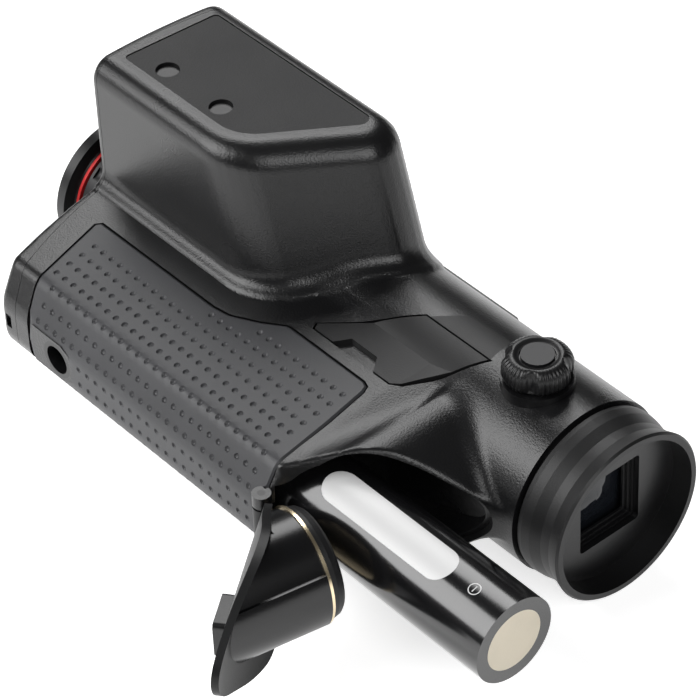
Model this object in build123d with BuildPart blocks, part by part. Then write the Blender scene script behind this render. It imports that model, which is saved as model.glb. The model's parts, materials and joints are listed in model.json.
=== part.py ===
from build123d import *
import math
import os

os.makedirs("parts", exist_ok=True)

# ---- driving dimensions, millimetres. +X leaves the eyepiece, -Y is the underside when
# ---- the device is held, +Z carries the range finder housing
TUBE_R = 18.8             # rear tube of the body, about the optical axis
WALL = 2.0                # wall of the moulded shells
GRIP = [(0.0, 14.0), (-9.0, 16.17), (-46.4, 11.85), (-51.2, 4.7)]   # half of the grip section
GRIP_R1 = 3.0             # rounding of the upper grip edge
GRIP_R2 = 7.0             # rounding of the lower grip edge
PAD_PROUD = 0.2           # the rubber pad stands this far out of the shell
PAD_DEEP = 1.2            # and reaches this far into it
SEAM_FRONT = -132.7       # foremost reach of the curved joint between shells and bezel
SEAM_R = 96.0             # radius of that joint
SEAM_Y = -11.0            # height of its axis
BEZEL_FRONT = -134.3      # foremost reach of the bezel, a flatter curve than the joint
BEZEL_R = SEAM_R + 48.0
REAR_X = -12.0            # rear end of the shells, where the eyecup begins
LENS_Y = -7.0             # height of the objective axis
LENS_R = 12.0             # outside of the objective barrel
LENS_IN = LENS_R - 1.2
HOOD_X = -148.0           # front rim of the lens hood
CELL_Y = -37.6            # height of the cell axis, shared by the door barrel
CELL_R = 9.25             # 18650 cell
CELL_BACK = 8.9           # rear face of the cell as it stands part way out
CELL_LEN = 70.0
TUBE_X = -121.5           # blind end of the battery tube
TUBE_BORE = CELL_R + 0.45          # bore of the battery tube
TUBE_OUT = CELL_R + 1.05
HINGE_X, HINGE_Y = -46.0, -51.4    # axis of the battery door hinge
DOOR_OPEN = 100.7         # how far the door swings, degrees
LEAF_TILT = 48.0          # slope of the closed door leaf, degrees
BELLY_R = 26.0            # crosswise radius of the leaf and of the housing round it
LEAF_T = 1.5              # wall of the door leaf
LEAF_GAP = 0.25           # play between the leaf and the housing
BARREL_R = 11.75
KNUCKLE_R = 1.9           # hinge knuckles
RING_R = 12.05            # light ring round the end of the door barrel
RING_X = -46.85           # its face, with the door closed
PLUG_X = -49.9            # end of the rubber plug beyond the ring, with the door closed
BAY_R = 12.6              # bore of the battery bay behind the tube
BAY_X = -50.3             # its blind end
HUMP_TOP = 45.0           # top of the range finder housing
HUMP_Y0, HUMP_Y1 = -20.0, 13.2
TRIPOD_X = -110.3         # centre of the quarter inch tripod thread
KNOB_X = -24.9            # axis of the side knob
KNOB_R = 7.1
KNOB_TOP = 25.4
EYE_OUT = TUBE_R - 3.6    # outside of the eyepiece tube
EYE_IN = EYE_OUT - WALL
BUTTONS = [-99.0, -85.0, -71.0, -58.0]     # button centres along the top
REST_Z = -18.9            # flat the object rests on when laid on its side
SCREWS = [-106.0, -84.0, -62.0]            # case screws in the resting side
FRONT = -160.0            # construction bars start here, beyond the front of the object

# half outline of the door leaf in its own slope: distance from the hinge, half width
LEAF = [(43.4, 0.0), (42.9, 2.4), (41.2, 4.6), (38.9, 6.3), (36.0, 8.1), (33.1, 9.8),
        (29.6, 11.5), (26.1, 12.8), (23.1, 13.6), (20.3, 13.95), (17.4, 13.95), (15.0, 13.6),
        (12.6, 12.8), (10.4, 11.7), (7.0, 10.0), (4.2, 8.8), (2.4, 8.3)]
# sections of the housing round the bay: position, height and half width of its lower edge,
# and how far its flank passes from the optical axis
FAIRING = [(-56.0, -38.0, 12.3, 16.6), (-46.5, -40.6, 12.45, 16.9), (-41.0, -40.2, 13.6, 17.2),
           (-37.5, -36.4, 14.6, 17.6), (-33.1, -31.5, 14.3, 18.1), (-28.4, -27.1, 12.3, 18.4),
           (-23.2, -23.3, 8.9, 18.5), (-18.4, -20.5, 5.0, 18.5), (-13.0, -18.9, 1.6, 18.5)]


def mirror_pts(half):
    """Full outline from its half with positive second coordinate."""
    return half + [(y, -z) for (y, z) in reversed(half)]


def ring_points(r, n, phase=0.0):
    """Points spaced evenly round a circle."""
    out = []
    for i in range(n):
        a = phase + 2.0 * math.pi * i / n
        out.append((r * math.cos(a), r * math.sin(a)))
    return out


# ---------------------------------------------------------------- construction solids
def grip_bar(offset_by):
    """Grip section swept along X, grown or shrunk by offset_by."""
    with BuildPart() as bar:
        with BuildSketch(Plane.YZ.offset(FRONT)):
            with BuildLine():
                Polyline(*mirror_pts(GRIP), close=True)
            make_face()
            low = [v for v in vertices_of_sketch() if v.X < -45 and v.X > -48]
            fillet(low, radius=GRIP_R1)
            deep = [v for v in vertices_of_sketch() if v.X < -50.5]
            fillet(deep, radius=GRIP_R2)
            if abs(offset_by) > 1e-6:
                offset(amount=offset_by)
        extrude(amount=-FRONT)
    return bar.part


def vertices_of_sketch():
    """Vertices of the sketch being drawn, in its own coordinates."""
    return BuildSketch._get_context().vertices()


def prism_xy(points, z0, z1):
    """Outline in the XY plane raised from z0 to z1."""
    with BuildPart() as pr:
        with BuildSketch(Plane.XY.offset(z0)):
            with BuildLine():
                Polyline(*points, close=True)
            make_face()
        extrude(amount=z1 - z0)
    return pr.part


def cyl_x(x0, x1, y, z, r):
    """Round bar along X."""
    with BuildPart() as c:
        with BuildSketch(Plane.YZ.offset(x0)):
            with Locations((y, z)):
                Circle(r)
        extrude(amount=x1 - x0)
    return c.part


def cyl_y(x, z, y0, y1, r):
    """Round bar along Y."""
    with BuildPart() as c:
        with Locations(Location((x, (y0 + y1) / 2, z), (90, 0, 0))):
            Cylinder(r, abs(y1 - y0))
    return c.part


def cyl_z(x, y, z0, z1, r):
    """Round bar along Z."""
    with BuildPart() as c:
        with Locations((x, y, (z0 + z1) / 2)):
            Cylinder(r, abs(z1 - z0))
    return c.part


def block(x0, x1, y0, y1, z0, z1):
    """Rectangular block between two corners."""
    with BuildPart() as b:
        with Locations(((x0 + x1) / 2, (y0 + y1) / 2, (z0 + z1) / 2)):
            Box(abs(x1 - x0), abs(y1 - y0), abs(z1 - z0))
    return b.part


def turned(profile, y, z):
    """Profile of (x, radius) points revolved about a line along X through (y, z)."""
    with BuildPart() as t:
        with BuildSketch(Plane(origin=(0, y, z), x_dir=(1, 0, 0), z_dir=(0, -1, 0))):
            with BuildLine():
                Polyline(*profile, close=True)
            make_face()
        revolve(axis=Axis((0, y, z), (1, 0, 0)), revolution_arc=360)
    return t.part


def door_turn(solid, degrees):
    """Turn a solid about the door hinge; minus ninety opens a closed door fully."""
    pin = Location((HINGE_X, HINGE_Y, 0))
    return pin * Rot(0, 0, degrees) * pin.inverse() * solid


slope = math.radians(LEAF_TILT)
ALONG = (math.cos(slope), math.sin(slope), 0)      # from the hinge to the tip of the closed leaf
INWARD = (-math.sin(slope), math.cos(slope), 0)    # from the leaf into the body


def drawn_in(half, shrink):
    """Half outline moved inwards by shrink, point by point along its normals."""
    out = [(half[0][0] - shrink, 0.0)]
    for i in range(1, len(half) - 1):
        ds = half[i + 1][0] - half[i - 1][0]
        dw = half[i + 1][1] - half[i - 1][1]
        size = math.hypot(ds, dw)
        out.append((half[i][0] - shrink * dw / size, half[i][1] + shrink * ds / size))
    out.append((half[-1][0] + shrink, half[-1][1] - shrink))
    return out


def leaf_prism(shrink, low, high):
    """Door outline drawn in by shrink, between two depths into the body."""
    half = drawn_in(LEAF, shrink)
    rim = [(s, -w) for (s, w) in reversed(half)] + half[1:]
    with BuildPart() as lp:
        with BuildSketch(Plane(origin=(HINGE_X, HINGE_Y, 0), x_dir=ALONG, z_dir=INWARD).offset(low)):
            with BuildLine():
                Spline(*rim)
                Line(rim[-1], rim[0])
            make_face()
        extrude(amount=high - low)
    return lp.part


def hinge_slab(half_width, from_s, to_s, low, high):
    """Block in the slope of the closed leaf, from one distance off the hinge to another."""
    with BuildPart() as hb:
        with BuildSketch(Plane(origin=(HINGE_X, HINGE_Y, 0), x_dir=ALONG, z_dir=INWARD).offset(low)):
            with Locations(((from_s + to_s) / 2, 0)):
                Rectangle(to_s - from_s, 2 * half_width)
        extrude(amount=high - low)
    return hb.part


def belly(radius, rise):
    """Everything on the body side of the curved underside, its crosswise radius given."""
    with BuildPart() as be:
        with BuildSketch(Plane(origin=(HINGE_X, HINGE_Y, 0), x_dir=INWARD, z_dir=ALONG).offset(-80)):
            with Locations((BELLY_R, 0)):
                Circle(radius)
            with Locations((BELLY_R + rise / 2, 0)):
                Rectangle(rise, 2 * radius)
        extrude(amount=160)
    return be.part


def fairing_section(y, z, reach):
    """Section of the housing round the bay, its flank touching a circle of radius reach."""
    turn = math.atan2(z, y) - math.acos(reach / math.hypot(y, z))
    ty, tz = reach * math.cos(turn), reach * math.sin(turn)
    return mirror_pts([(1.0, 9.0), (ty, tz), (y, z), (y - 6.0, z)])


with BuildPart() as fairing:
    for (x, y, z, reach) in FAIRING:
        with BuildSketch(Plane.YZ.offset(x)):
            with BuildLine():
                Polyline(*fairing_section(y, z, reach), close=True)
            make_face()
    loft(ruled=True)

with BuildPart() as tube_bar:
    with BuildSketch(Plane.YZ.offset(FRONT)):
        Circle(TUBE_R)
    extrude(amount=REAR_X - FRONT)

with BuildPart() as rear_region:
    add(belly(BELLY_R, 60.0))
    add(block(FRONT, HINGE_X, -80, 60, -60, 60))

with BuildPart() as lower_bar:
    add(grip_bar(0.0))
    add(block(FRONT, -38.5, -60, 10, -40, 40), mode=Mode.INTERSECT)
    add(fairing.part)
    add(rear_region.part, mode=Mode.INTERSECT)

with BuildPart() as side_boss:
    with BuildSketch(Plane.XY.offset(REST_Z)):
        with Locations((-71.0, -8.5)):
            RectangleRounded(82.0, 25.0, 6.0)
    extrude(amount=8.0)
    chamfer(side_boss.faces().sort_by(Axis.Z)[0].edges(), length=1.2)

with BuildPart() as outline:
    add(tube_bar.part)
    add(lower_bar.part)

with BuildPart() as seam_bar:
    with Locations((SEAM_FRONT + SEAM_R, SEAM_Y, 0)):
        Cylinder(SEAM_R, 120)

with BuildPart() as front_bar:
    with Locations((BEZEL_FRONT + BEZEL_R, SEAM_Y, 0)):
        Cylinder(BEZEL_R, 120)

# range finder housing, before hollowing: ruled body from a wide foot to a smaller top
hump_foot = [(-140.0, HUMP_Y0), (-82.8, HUMP_Y0), (-58.85, HUMP_Y1), (-140.0, HUMP_Y1)]
hump_roof = [(-140.0, HUMP_Y0), (-92.4, HUMP_Y0), (-68.5, HUMP_Y1), (-140.0, HUMP_Y1)]


def hump_solid(shrink, z_low, z_high):
    """The housing as a tapered block, with every wall moved in by shrink."""
    with BuildPart() as hs:
        for z, pts in ((13.0, hump_foot), (HUMP_TOP, hump_roof)):
            with BuildSketch(Plane.XY.offset(z)):
                with BuildLine():
                    Polyline(*pts, close=True)
                make_face()
                low_corner = [v for v in vertices_of_sketch() if v.X > -135 and v.Y < HUMP_Y0 + 0.1]
                fillet(low_corner, radius=16.0)
                high_corner = [v for v in vertices_of_sketch() if v.X > -135 and v.Y > HUMP_Y1 - 0.1]
                fillet(high_corner, radius=7.0)
                if shrink > 0:
                    offset(amount=-shrink, kind=Kind.INTERSECTION)
        loft(ruled=True)
        add(block(-160, 20, -60, 60, z_low, z_high), mode=Mode.INTERSECT)
    return hs.part


with BuildPart() as hump:
    add(hump_solid(0.0, 13.0, HUMP_TOP))
    top_edges = hump.faces().sort_by(Axis.Z)[-1].edges()
    rims = [e for e in top_edges if e.center().X > -139]
    fillet(rims, radius=4.5)

# ---------------------------------------------------------------- moulded body
pad_line = [(-124.6, -29.0), (-123.8, -28.0), (-88.0, -28.0), (-84.0, -27.4), (-77.7, -24.5),
            (-73.2, -21.7), (-72.2, -21.5), (-50.6, -21.5), (-49.2, -22.0), (-48.6, -23.4), (-47.6, -33.0), (-46.6, -49.0),
            (-46.6, -56.0), (-118.0, -56.0), (-120.8, -48.0)]
panel_half = [(-7.7, 4.5), (1.7, 4.5), (4.1, 3.4)]
panel_pts = [(TRIPOD_X + x, -z) for (x, z) in panel_half] + [(TRIPOD_X + 4.7, 0.0)]
panel_pts = panel_pts + [(TRIPOD_X + x, z) for (x, z) in reversed(panel_half)]

with BuildPart() as pad_prism:
    with BuildSketch(Plane.XY.offset(-40)):
        with BuildLine():
            Polyline(*pad_line, close=True)
        make_face()
    extrude(amount=80)

with BuildPart() as pad_recess:
    with BuildSketch(Plane.XY.offset(-40)):
        with BuildLine():
            Polyline(*pad_line, close=True)
        make_face()
        offset(amount=0.35, kind=Kind.INTERSECTION)
    extrude(amount=80)
    add(grip_bar(1.0), mode=Mode.INTERSECT)
    add(grip_bar(-PAD_DEEP), mode=Mode.SUBTRACT)

with BuildPart() as panel_prism:
    with BuildSketch(Plane.XZ.offset(48.0)):
        with BuildLine():
            Polyline(*panel_pts, close=True)
        make_face()
    extrude(amount=6.0)

flap_pts = [(-53.4, -2.8), (-35.75, -2.8), (-44.75, -17.0), (-46.6, -18.4), (-51.4, -18.4), (-53.6, -15.4),
            (-61.0, -15.4), (-63.2, -18.4), (-68.6, -18.4), (-69.2, -17.2)]
anchor_pts = [(-52.6, -2.4), (-35.4, -2.4), (-36.5, 3.9), (-47.5, 3.4)]

with BuildPart() as flap_prism:
    add(prism_xy(flap_pts, 5, 30))

with BuildPart() as flap_pocket:
    with BuildSketch(Plane.XY.offset(5)):
        with BuildLine():
            Polyline((-53.6, -2.4), (-34.8, -2.4), (-44.2, -17.3), (-46.5, -18.8), (-68.9, -18.8),
                     (-69.7, -17.3), close=True)
        make_face()
    extrude(amount=25)

with BuildPart() as anchor_prism:
    add(prism_xy(anchor_pts, 5, 30))

with BuildPart() as inner_skin:
    add(cyl_x(-150, 0, 0, 0, TUBE_R - 1.25))
    add(grip_bar(-1.25))

# room for the door barrel, the opening behind the leaf, and the seat of the leaf itself
with BuildPart() as bay_room:
    add(leaf_prism(1.3, -4.0, 24.0))
    add(block(BAY_X + 2.0, 0, -80, -TUBE_R + 0.6, -40, 40), mode=Mode.INTERSECT)

with BuildPart() as leaf_seat:
    add(leaf_prism(0.0, -10.0, 12.0))
    add(belly(BELLY_R - LEAF_T - 0.3, 60.0), mode=Mode.SUBTRACT)

with BuildPart() as bay:
    add(cyl_x(BAY_X, -10.0, CELL_Y, 0, BAY_R))
    add(bay_room.part)
    add(leaf_seat.part)

with BuildPart() as flap_seat:
    add(flap_pocket.part)
    add(anchor_prism.part)
    add(inner_skin.part, mode=Mode.SUBTRACT)

knuckle = [cyl_z(HINGE_X, HINGE_Y, 5.2, 8.0, KNUCKLE_R), cyl_z(HINGE_X, HINGE_Y, -8.0, -5.2, KNUCKLE_R)]

with BuildPart() as moulding:
    add(outline.part)
    add(side_boss.part)
    add(seam_bar.part, mode=Mode.INTERSECT)
    for k in knuckle:
        add(k)
    # hollows
    add(cyl_x(-150, -16, 0, 0, TUBE_R - WALL), mode=Mode.SUBTRACT)
    add(block(-150, -50, -24, 0, -12, 12), mode=Mode.SUBTRACT)
    add(cyl_x(-17, 0, 0, 0, EYE_OUT), mode=Mode.SUBTRACT)
    add(cyl_x(TUBE_X, BAY_X + 1.0, CELL_Y, 0, TUBE_OUT), mode=Mode.SUBTRACT)
    add(bay.part, mode=Mode.SUBTRACT)
    add(cyl_z(HINGE_X, HINGE_Y, -4.95, 4.95, 2.35), mode=Mode.SUBTRACT)
    add(hinge_slab(4.95, 0.0, 4.0, -3.0, 3.0), mode=Mode.SUBTRACT)
    add(cyl_z(HINGE_X, HINGE_Y, -9, 9, 0.8), mode=Mode.SUBTRACT)
    # seats for the parts let into the outside
    add(pad_recess.part, mode=Mode.SUBTRACT)
    add(panel_prism.part, mode=Mode.SUBTRACT)
    add(flap_seat.part, mode=Mode.SUBTRACT)
    add(block(-60, -51, -12.2, -9.0, 8, 20), mode=Mode.SUBTRACT)
    add(cyl_z(KNOB_X, 0, 15.3, 30, 7.2), mode=Mode.SUBTRACT)
    add(cyl_y(TRIPOD_X, 0, -52, -47.95, 4.2), mode=Mode.SUBTRACT)
    for x in BUTTONS:
        add(cyl_y(x, 0, 12, 30, 4.3), mode=Mode.SUBTRACT)
    for x in SCREWS:
        add(cyl_z(x, -18.0, REST_Z - 1, REST_Z + 1.6, 2.0), mode=Mode.SUBTRACT)
        add(cyl_z(x, -18.0, REST_Z + 1.5, -12.0, 1.1), mode=Mode.SUBTRACT)

with BuildPart() as left_shell:
    add(moulding.part)
    add(block(-160, 20, -80, 60, 0, 60), mode=Mode.INTERSECT)
left_shell.part.label = "left_shell"
export_step(left_shell.part, "parts/left_shell.step")

with BuildPart() as right_shell:
    add(moulding.part)
    add(block(-160, 20, -80, 60, -60, 0), mode=Mode.INTERSECT)
right_shell.part.label = "right_shell"
export_step(right_shell.part, "parts/right_shell.step")

with BuildPart() as front_bezel:
    add(grip_bar(0.0))
    add(cyl_x(-160, -40, 0, 0, TUBE_R))
    add(hump.part)
    add(front_bar.part, mode=Mode.INTERSECT)
    add(seam_bar.part, mode=Mode.SUBTRACT)
    add(block(-160, -110, -60, 60, -60, 60), mode=Mode.INTERSECT)
    add(cyl_x(-160, -100, LENS_Y, 0, LENS_R + 1.3), mode=Mode.SUBTRACT)
    add(cyl_x(-160, -100, -9.0, 30.0, 8.0), mode=Mode.SUBTRACT)
    add(cyl_x(-160, -100, 6.0, 30.0, 4.0), mode=Mode.SUBTRACT)
    add(block(-127.4, -125.7, -60, -48.0, -1.6, 1.6), mode=Mode.SUBTRACT)
    add(cyl_x(-128.0, -124.9, -49.9, 0, 0.5), mode=Mode.SUBTRACT)
front_bezel.part.label = "front_bezel"
export_step(front_bezel.part, "parts/front_bezel.step")

with BuildPart() as lanyard_pin:
    add(cyl_x(-128.0, -124.9, -49.9, 0, 0.5))
lanyard_pin.part.label = "lanyard_pin"
export_step(lanyard_pin.part, "parts/lanyard_pin.step")

# ---------------------------------------------------------------- range finder
PLATE = [(-129.1, 8.7), (-79.3, 8.9), (-95.5, -14.0), (-130.6, -13.9)]
PLATE_SCREWS = [(-121.5, -10.1), (-104.8, -10.1)]

with BuildPart() as plate_prism:
    add(prism_xy(PLATE, 44.0, 44.8))
    upright = plate_prism.edges().filter_by(Axis.Z)
    fillet([e for e in upright if e.center().X > -100 and e.center().Y < 0], radius=10.0)
    upright = plate_prism.edges().filter_by(Axis.Z)
    rest = [e for e in upright if e.length > 0.79 and abs(e.center().X + 129.85) < 1]
    fillet(rest, radius=1.0)

with BuildPart() as hump_hollow:
    add(hump_solid(2.0, 13.0, 42.4))
    add(block(-160, -139, -60, 60, 0, 60), mode=Mode.SUBTRACT)
    add(block(-139.5, -125, -18, 11.2, 13.0, 42.4))

with BuildPart() as rangefinder_cover:
    add(hump.part)
    add(seam_bar.part, mode=Mode.INTERSECT)
    add(outline.part, mode=Mode.SUBTRACT)
    add(hump_hollow.part, mode=Mode.SUBTRACT)
    add(plate_prism.part, mode=Mode.SUBTRACT)
    add(block(-160, 0, -60, 60, 44.8, 46), mode=Mode.SUBTRACT)
    for (x, y) in PLATE_SCREWS:
        add(cyl_z(x, y, 42.9, 46, 2.0), mode=Mode.SUBTRACT)
        add(cyl_z(x, y, 41, 44, 1.1), mode=Mode.SUBTRACT)
rangefinder_cover.part.label = "rangefinder_cover"
export_step(rangefinder_cover.part, "parts/rangefinder_cover.step")

with BuildPart() as rangefinder_plate:
    add(plate_prism.part)
    for (x, y) in PLATE_SCREWS:
        add(cyl_z(x, y, 43, 46, 2.45), mode=Mode.SUBTRACT)
rangefinder_plate.part.label = "rangefinder_plate"
export_step(rangefinder_plate.part, "parts/rangefinder_plate.step")

with BuildPart() as plate_screws:
    for (x, y) in PLATE_SCREWS:
        add(cyl_z(x, y, 42.9, 44.1, 2.0))
        add(cyl_z(x, y, 38.5, 43.0, 1.1))
plate_screws.part.label = "plate_screws"
export_step(plate_screws.part, "parts/plate_screws.step")

with BuildPart() as receiver_lens:
    add(cyl_x(-133.9, -131.9, -9.0, 30.0, 8.0))
receiver_lens.part.label = "receiver_lens"
export_step(receiver_lens.part, "parts/receiver_lens.step")

with BuildPart() as emitter_lens:
    add(cyl_x(-132.9, -130.9, 6.0, 30.0, 4.0))
emitter_lens.part.label = "emitter_lens"
export_step(emitter_lens.part, "parts/emitter_lens.step")

with BuildPart() as rangefinder_module:
    add(block(-128.5, -98.0, -16.0, 10.0, 20.0, 41.0))
    for (x, y) in PLATE_SCREWS:
        add(cyl_z(x, y, 38.4, 42, 1.4), mode=Mode.SUBTRACT)
    add(cyl_x(-130.0, -128.5, -9.0, 30.0, 6.5))
    add(cyl_x(-129.6, -128.5, 6.0, 30.0, 3.2))
    add(cyl_x(-131.0, -97.0, 0, 0, 19.0), mode=Mode.SUBTRACT)
rangefinder_module.part.label = "rangefinder_module"
export_step(rangefinder_module.part, "parts/rangefinder_module.step")

# ---------------------------------------------------------------- grip
with BuildPart() as grip_pad:
    add(pad_prism.part)
    add(grip_bar(PAD_PROUD), mode=Mode.INTERSECT)
    add(grip_bar(-PAD_DEEP), mode=Mode.SUBTRACT)
    add(panel_prism.part, mode=Mode.SUBTRACT)
    add(cyl_z(HINGE_X, HINGE_Y, -9, 9, 2.35), mode=Mode.SUBTRACT)
grip_pad.part.label = "grip_pad"
export_step(grip_pad.part, "parts/grip_pad.step")

with BuildPart() as tripod_plate:
    add(panel_prism.part)
    add(block(-119, -100, -51.4, -48.0, -6, 6), mode=Mode.INTERSECT)
    add(cyl_y(TRIPOD_X, 0, -52, -47, 4.2), mode=Mode.SUBTRACT)
tripod_plate.part.label = "tripod_plate"
export_step(tripod_plate.part, "parts/tripod_plate.step")

with BuildPart() as tripod_insert:
    add(cyl_y(TRIPOD_X, 0, -51.4, -47.95, 4.2))
    add(cyl_y(TRIPOD_X, 0, -52, -47, 3.175), mode=Mode.SUBTRACT)
tripod_insert.part.label = "tripod_insert"
export_step(tripod_insert.part, "parts/tripod_insert.step")

with BuildPart() as case_screws:
    for x in SCREWS:
        add(cyl_z(x, -18.0, REST_Z + 0.4, REST_Z + 1.6, 2.0))
        add(cyl_z(x, -18.0, REST_Z + 1.5, -12.6, 1.1))
case_screws.part.label = "case_screws"
export_step(case_screws.part, "parts/case_screws.step")

# ---------------------------------------------------------------- objective
with BuildPart() as flange:
    add(cyl_x(-136, -128.5, LENS_Y, 0, LENS_R + 2.6))
    add(cyl_x(-140, -120, 0, 0, TUBE_R - WALL), mode=Mode.INTERSECT)
    add(seam_bar.part, mode=Mode.INTERSECT)
    add(cyl_x(-137, -128, LENS_Y, 0, LENS_R - 0.1), mode=Mode.SUBTRACT)

with BuildPart() as lens_barrel:
    add(turned([(-145.6, LENS_IN), (-145.6, LENS_R), (-100.0, LENS_R), (-100.0, LENS_IN)], LENS_Y, 0))
    add(flange.part)
lens_barrel.part.label = "lens_barrel"
export_step(lens_barrel.part, "parts/lens_barrel.step")

FOCUS_IN = LENS_R + 0.06
with BuildPart() as focus_ring:
    add(turned([(-143.2, FOCUS_IN), (-143.2, LENS_R + 0.7), (-142.9, LENS_R + 1.0), (-133.2, LENS_R + 1.0),
                (-133.2, FOCUS_IN)], LENS_Y, 0))
    for (dy, dz) in ring_points(LENS_R + 2.6, 12, 0.2):
        add(cyl_x(-142.2, -136.4, LENS_Y + dy, dz, 2.2), mode=Mode.SUBTRACT)
focus_ring.part.label = "focus_ring"
export_step(focus_ring.part, "parts/focus_ring.step")

with BuildPart() as accent_ring:
    add(turned([(-144.2, LENS_R), (-144.2, 13.3), (-143.5, 13.3), (-143.5, LENS_R)], LENS_Y, 0))
accent_ring.part.label = "accent_ring"
export_step(accent_ring.part, "parts/accent_ring.step")

with BuildPart() as lens_hood:
    add(turned([(-144.2, LENS_R), (-144.2, 13.3), (-144.5, 13.6), (-145.3, 15.7), (HOOD_X + 0.4, 15.7),
                (HOOD_X, 15.3), (HOOD_X, 13.6), (-145.6, 13.6), (-145.6, LENS_R)], LENS_Y, 0))
lens_hood.part.label = "lens_hood"
export_step(lens_hood.part, "parts/lens_hood.step")

with BuildPart() as front_lens:
    add(turned([(-143.1, 0.0), (-142.9, 3.6), (-142.5, 7.2), (-141.6, LENS_IN), (-138.0, LENS_IN),
                (-138.6, 6.0), (-138.9, 0.0)], LENS_Y, 0))
front_lens.part.label = "front_lens"
export_step(front_lens.part, "parts/front_lens.step")

with BuildPart() as retaining_ring:
    add(turned([(-143.9, 9.6), (-143.9, LENS_IN), (-141.7, LENS_IN), (-142.1, 9.6)], LENS_Y, 0))
retaining_ring.part.label = "retaining_ring"
export_step(retaining_ring.part, "parts/retaining_ring.step")

with BuildPart() as rear_lens:
    add(turned([(-112.0, 0.0), (-111.0, LENS_IN), (-108.6, LENS_IN), (-107.6, 0.0)], LENS_Y, 0))
rear_lens.part.label = "rear_lens"
export_step(rear_lens.part, "parts/rear_lens.step")

with BuildPart() as sensor_module:
    add(block(-100.0, -92.0, LENS_Y - 11.0, LENS_Y + 11.0, -11.0, 11.0))
    add(block(-101.5, -100.0, LENS_Y - 6.0, LENS_Y + 6.0, -7.0, 7.0))
sensor_module.part.label = "sensor_module"
export_step(sensor_module.part, "parts/sensor_module.step")

with BuildPart() as main_board:
    add(block(-118.0, -52.0, -23.2, -21.6, -12.0, 12.0))
    add(block(-90.0, -74.0, -21.6, -19.8, -7.0, 7.0))
    add(block(-68.0, -58.0, -21.6, -20.2, -5.0, 5.0))
main_board.part.label = "main_board"
export_step(main_board.part, "parts/main_board.step")

# ---------------------------------------------------------------- eyepiece
with BuildPart() as eyepiece_tube:
    add(turned([(-44.0, EYE_IN), (-44.0, EYE_OUT), (-6.2, EYE_OUT), (-6.2, EYE_IN)], 0, 0))
eyepiece_tube.part.label = "eyepiece_tube"
export_step(eyepiece_tube.part, "parts/eyepiece_tube.step")

with BuildPart() as display_module:
    add(block(-46.5, -44.0, -10.4, 10.4, -10.4, 10.4))
    add(block(-44.0, -43.2, -7.5, 7.5, -8.5, 8.5))
display_module.part.label = "display_module"
export_step(display_module.part, "parts/display_module.step")

with BuildPart() as inner_eye_lens:
    add(turned([(-24.5, 0.0), (-22.5, EYE_IN), (-20.5, EYE_IN), (-18.5, 0.0)], 0, 0))
inner_eye_lens.part.label = "inner_eye_lens"
export_step(inner_eye_lens.part, "parts/inner_eye_lens.step")

with BuildPart() as outer_eye_lens:
    add(turned([(-14.0, 0.0), (-12.5, EYE_IN), (-10.5, EYE_IN), (-8.5, 0.0)], 0, 0))
outer_eye_lens.part.label = "outer_eye_lens"
export_step(outer_eye_lens.part, "parts/outer_eye_lens.step")

with BuildPart() as view_hole:
    with BuildSketch(Plane.YZ.offset(-8)):
        RectangleRounded(15.3, 16.5, 0.8)
    extrude(amount=6)

with BuildPart() as window_plate:
    add(cyl_x(-6.2, -5.0, 0, 0, 16.2))
    add(view_hole.part, mode=Mode.SUBTRACT)
window_plate.part.label = "window_plate"
export_step(window_plate.part, "parts/window_plate.step")

with BuildPart() as eyecup:
    add(turned([(REAR_X, EYE_OUT), (REAR_X, 17.3), (-11.3, 17.3), (-11.1, 18.2), (-10.0, 18.4),
                (-8.0, 18.2), (-5.5, 17.6), (-3.2, 17.7), (-1.2, 18.3), (-0.5, 18.5), (0.0, 18.1), (0.0, 16.9),
                (-5.0, 16.9), (-5.0, 16.2), (-6.2, 16.2), (-6.2, EYE_OUT)], 0, 0))
eyecup.part.label = "eyecup"
export_step(eyecup.part, "parts/eyecup.step")

# ---------------------------------------------------------------- side knob
with BuildPart() as knob_base_ring:
    add(cyl_z(KNOB_X, 0, 15.3, 20.0, 7.2))
    add(cyl_z(KNOB_X, 0, 15.0, 21.0, 2.05), mode=Mode.SUBTRACT)
knob_base_ring.part.label = "knob_base_ring"
export_step(knob_base_ring.part, "parts/knob_base_ring.step")

with BuildPart() as knob_shaft:
    add(cyl_z(KNOB_X, 0, 15.6, 21.2, 2.0))
knob_shaft.part.label = "knob_shaft"
export_step(knob_shaft.part, "parts/knob_shaft.step")

with BuildPart() as knob_cap:
    add(cyl_z(KNOB_X, 0, 20.4, KNOB_TOP, KNOB_R))
    chamfer(knob_cap.faces().sort_by(Axis.Z)[-1].edges(), length=1.5)
    for (dx, dy) in ring_points(9.6, 4, 0.6):
        add(cyl_z(KNOB_X + dx, dy, 21.2, 26.0, 3.2), mode=Mode.SUBTRACT)
    add(cyl_z(KNOB_X, 0, 20.0, 21.2, 2.0), mode=Mode.SUBTRACT)
    add(cyl_z(KNOB_X, 0, 24.6, 26.0, 3.6), mode=Mode.SUBTRACT)
knob_cap.part.label = "knob_cap"
export_step(knob_cap.part, "parts/knob_cap.step")

with BuildPart() as knob_disc:
    add(cyl_z(KNOB_X, 0, 24.6, KNOB_TOP, 3.3))
knob_disc.part.label = "knob_disc"
export_step(knob_disc.part, "parts/knob_disc.step")

# ---------------------------------------------------------------- port flap
with BuildPart() as skin_shell:
    add(outline.part)
    add(inner_skin.part, mode=Mode.SUBTRACT)
    add(block(-160, 0, -60, 60, 2, 30), mode=Mode.INTERSECT)

with BuildPart() as usb_flap:
    add(skin_shell.part)
    add(flap_prism.part, mode=Mode.INTERSECT)
    add(block(-54.0, -35.0, -4.4, -2.0, 10.0, 17.9), mode=Mode.SUBTRACT)
usb_flap.part.label = "usb_flap"
export_step(usb_flap.part, "parts/usb_flap.step")

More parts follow.
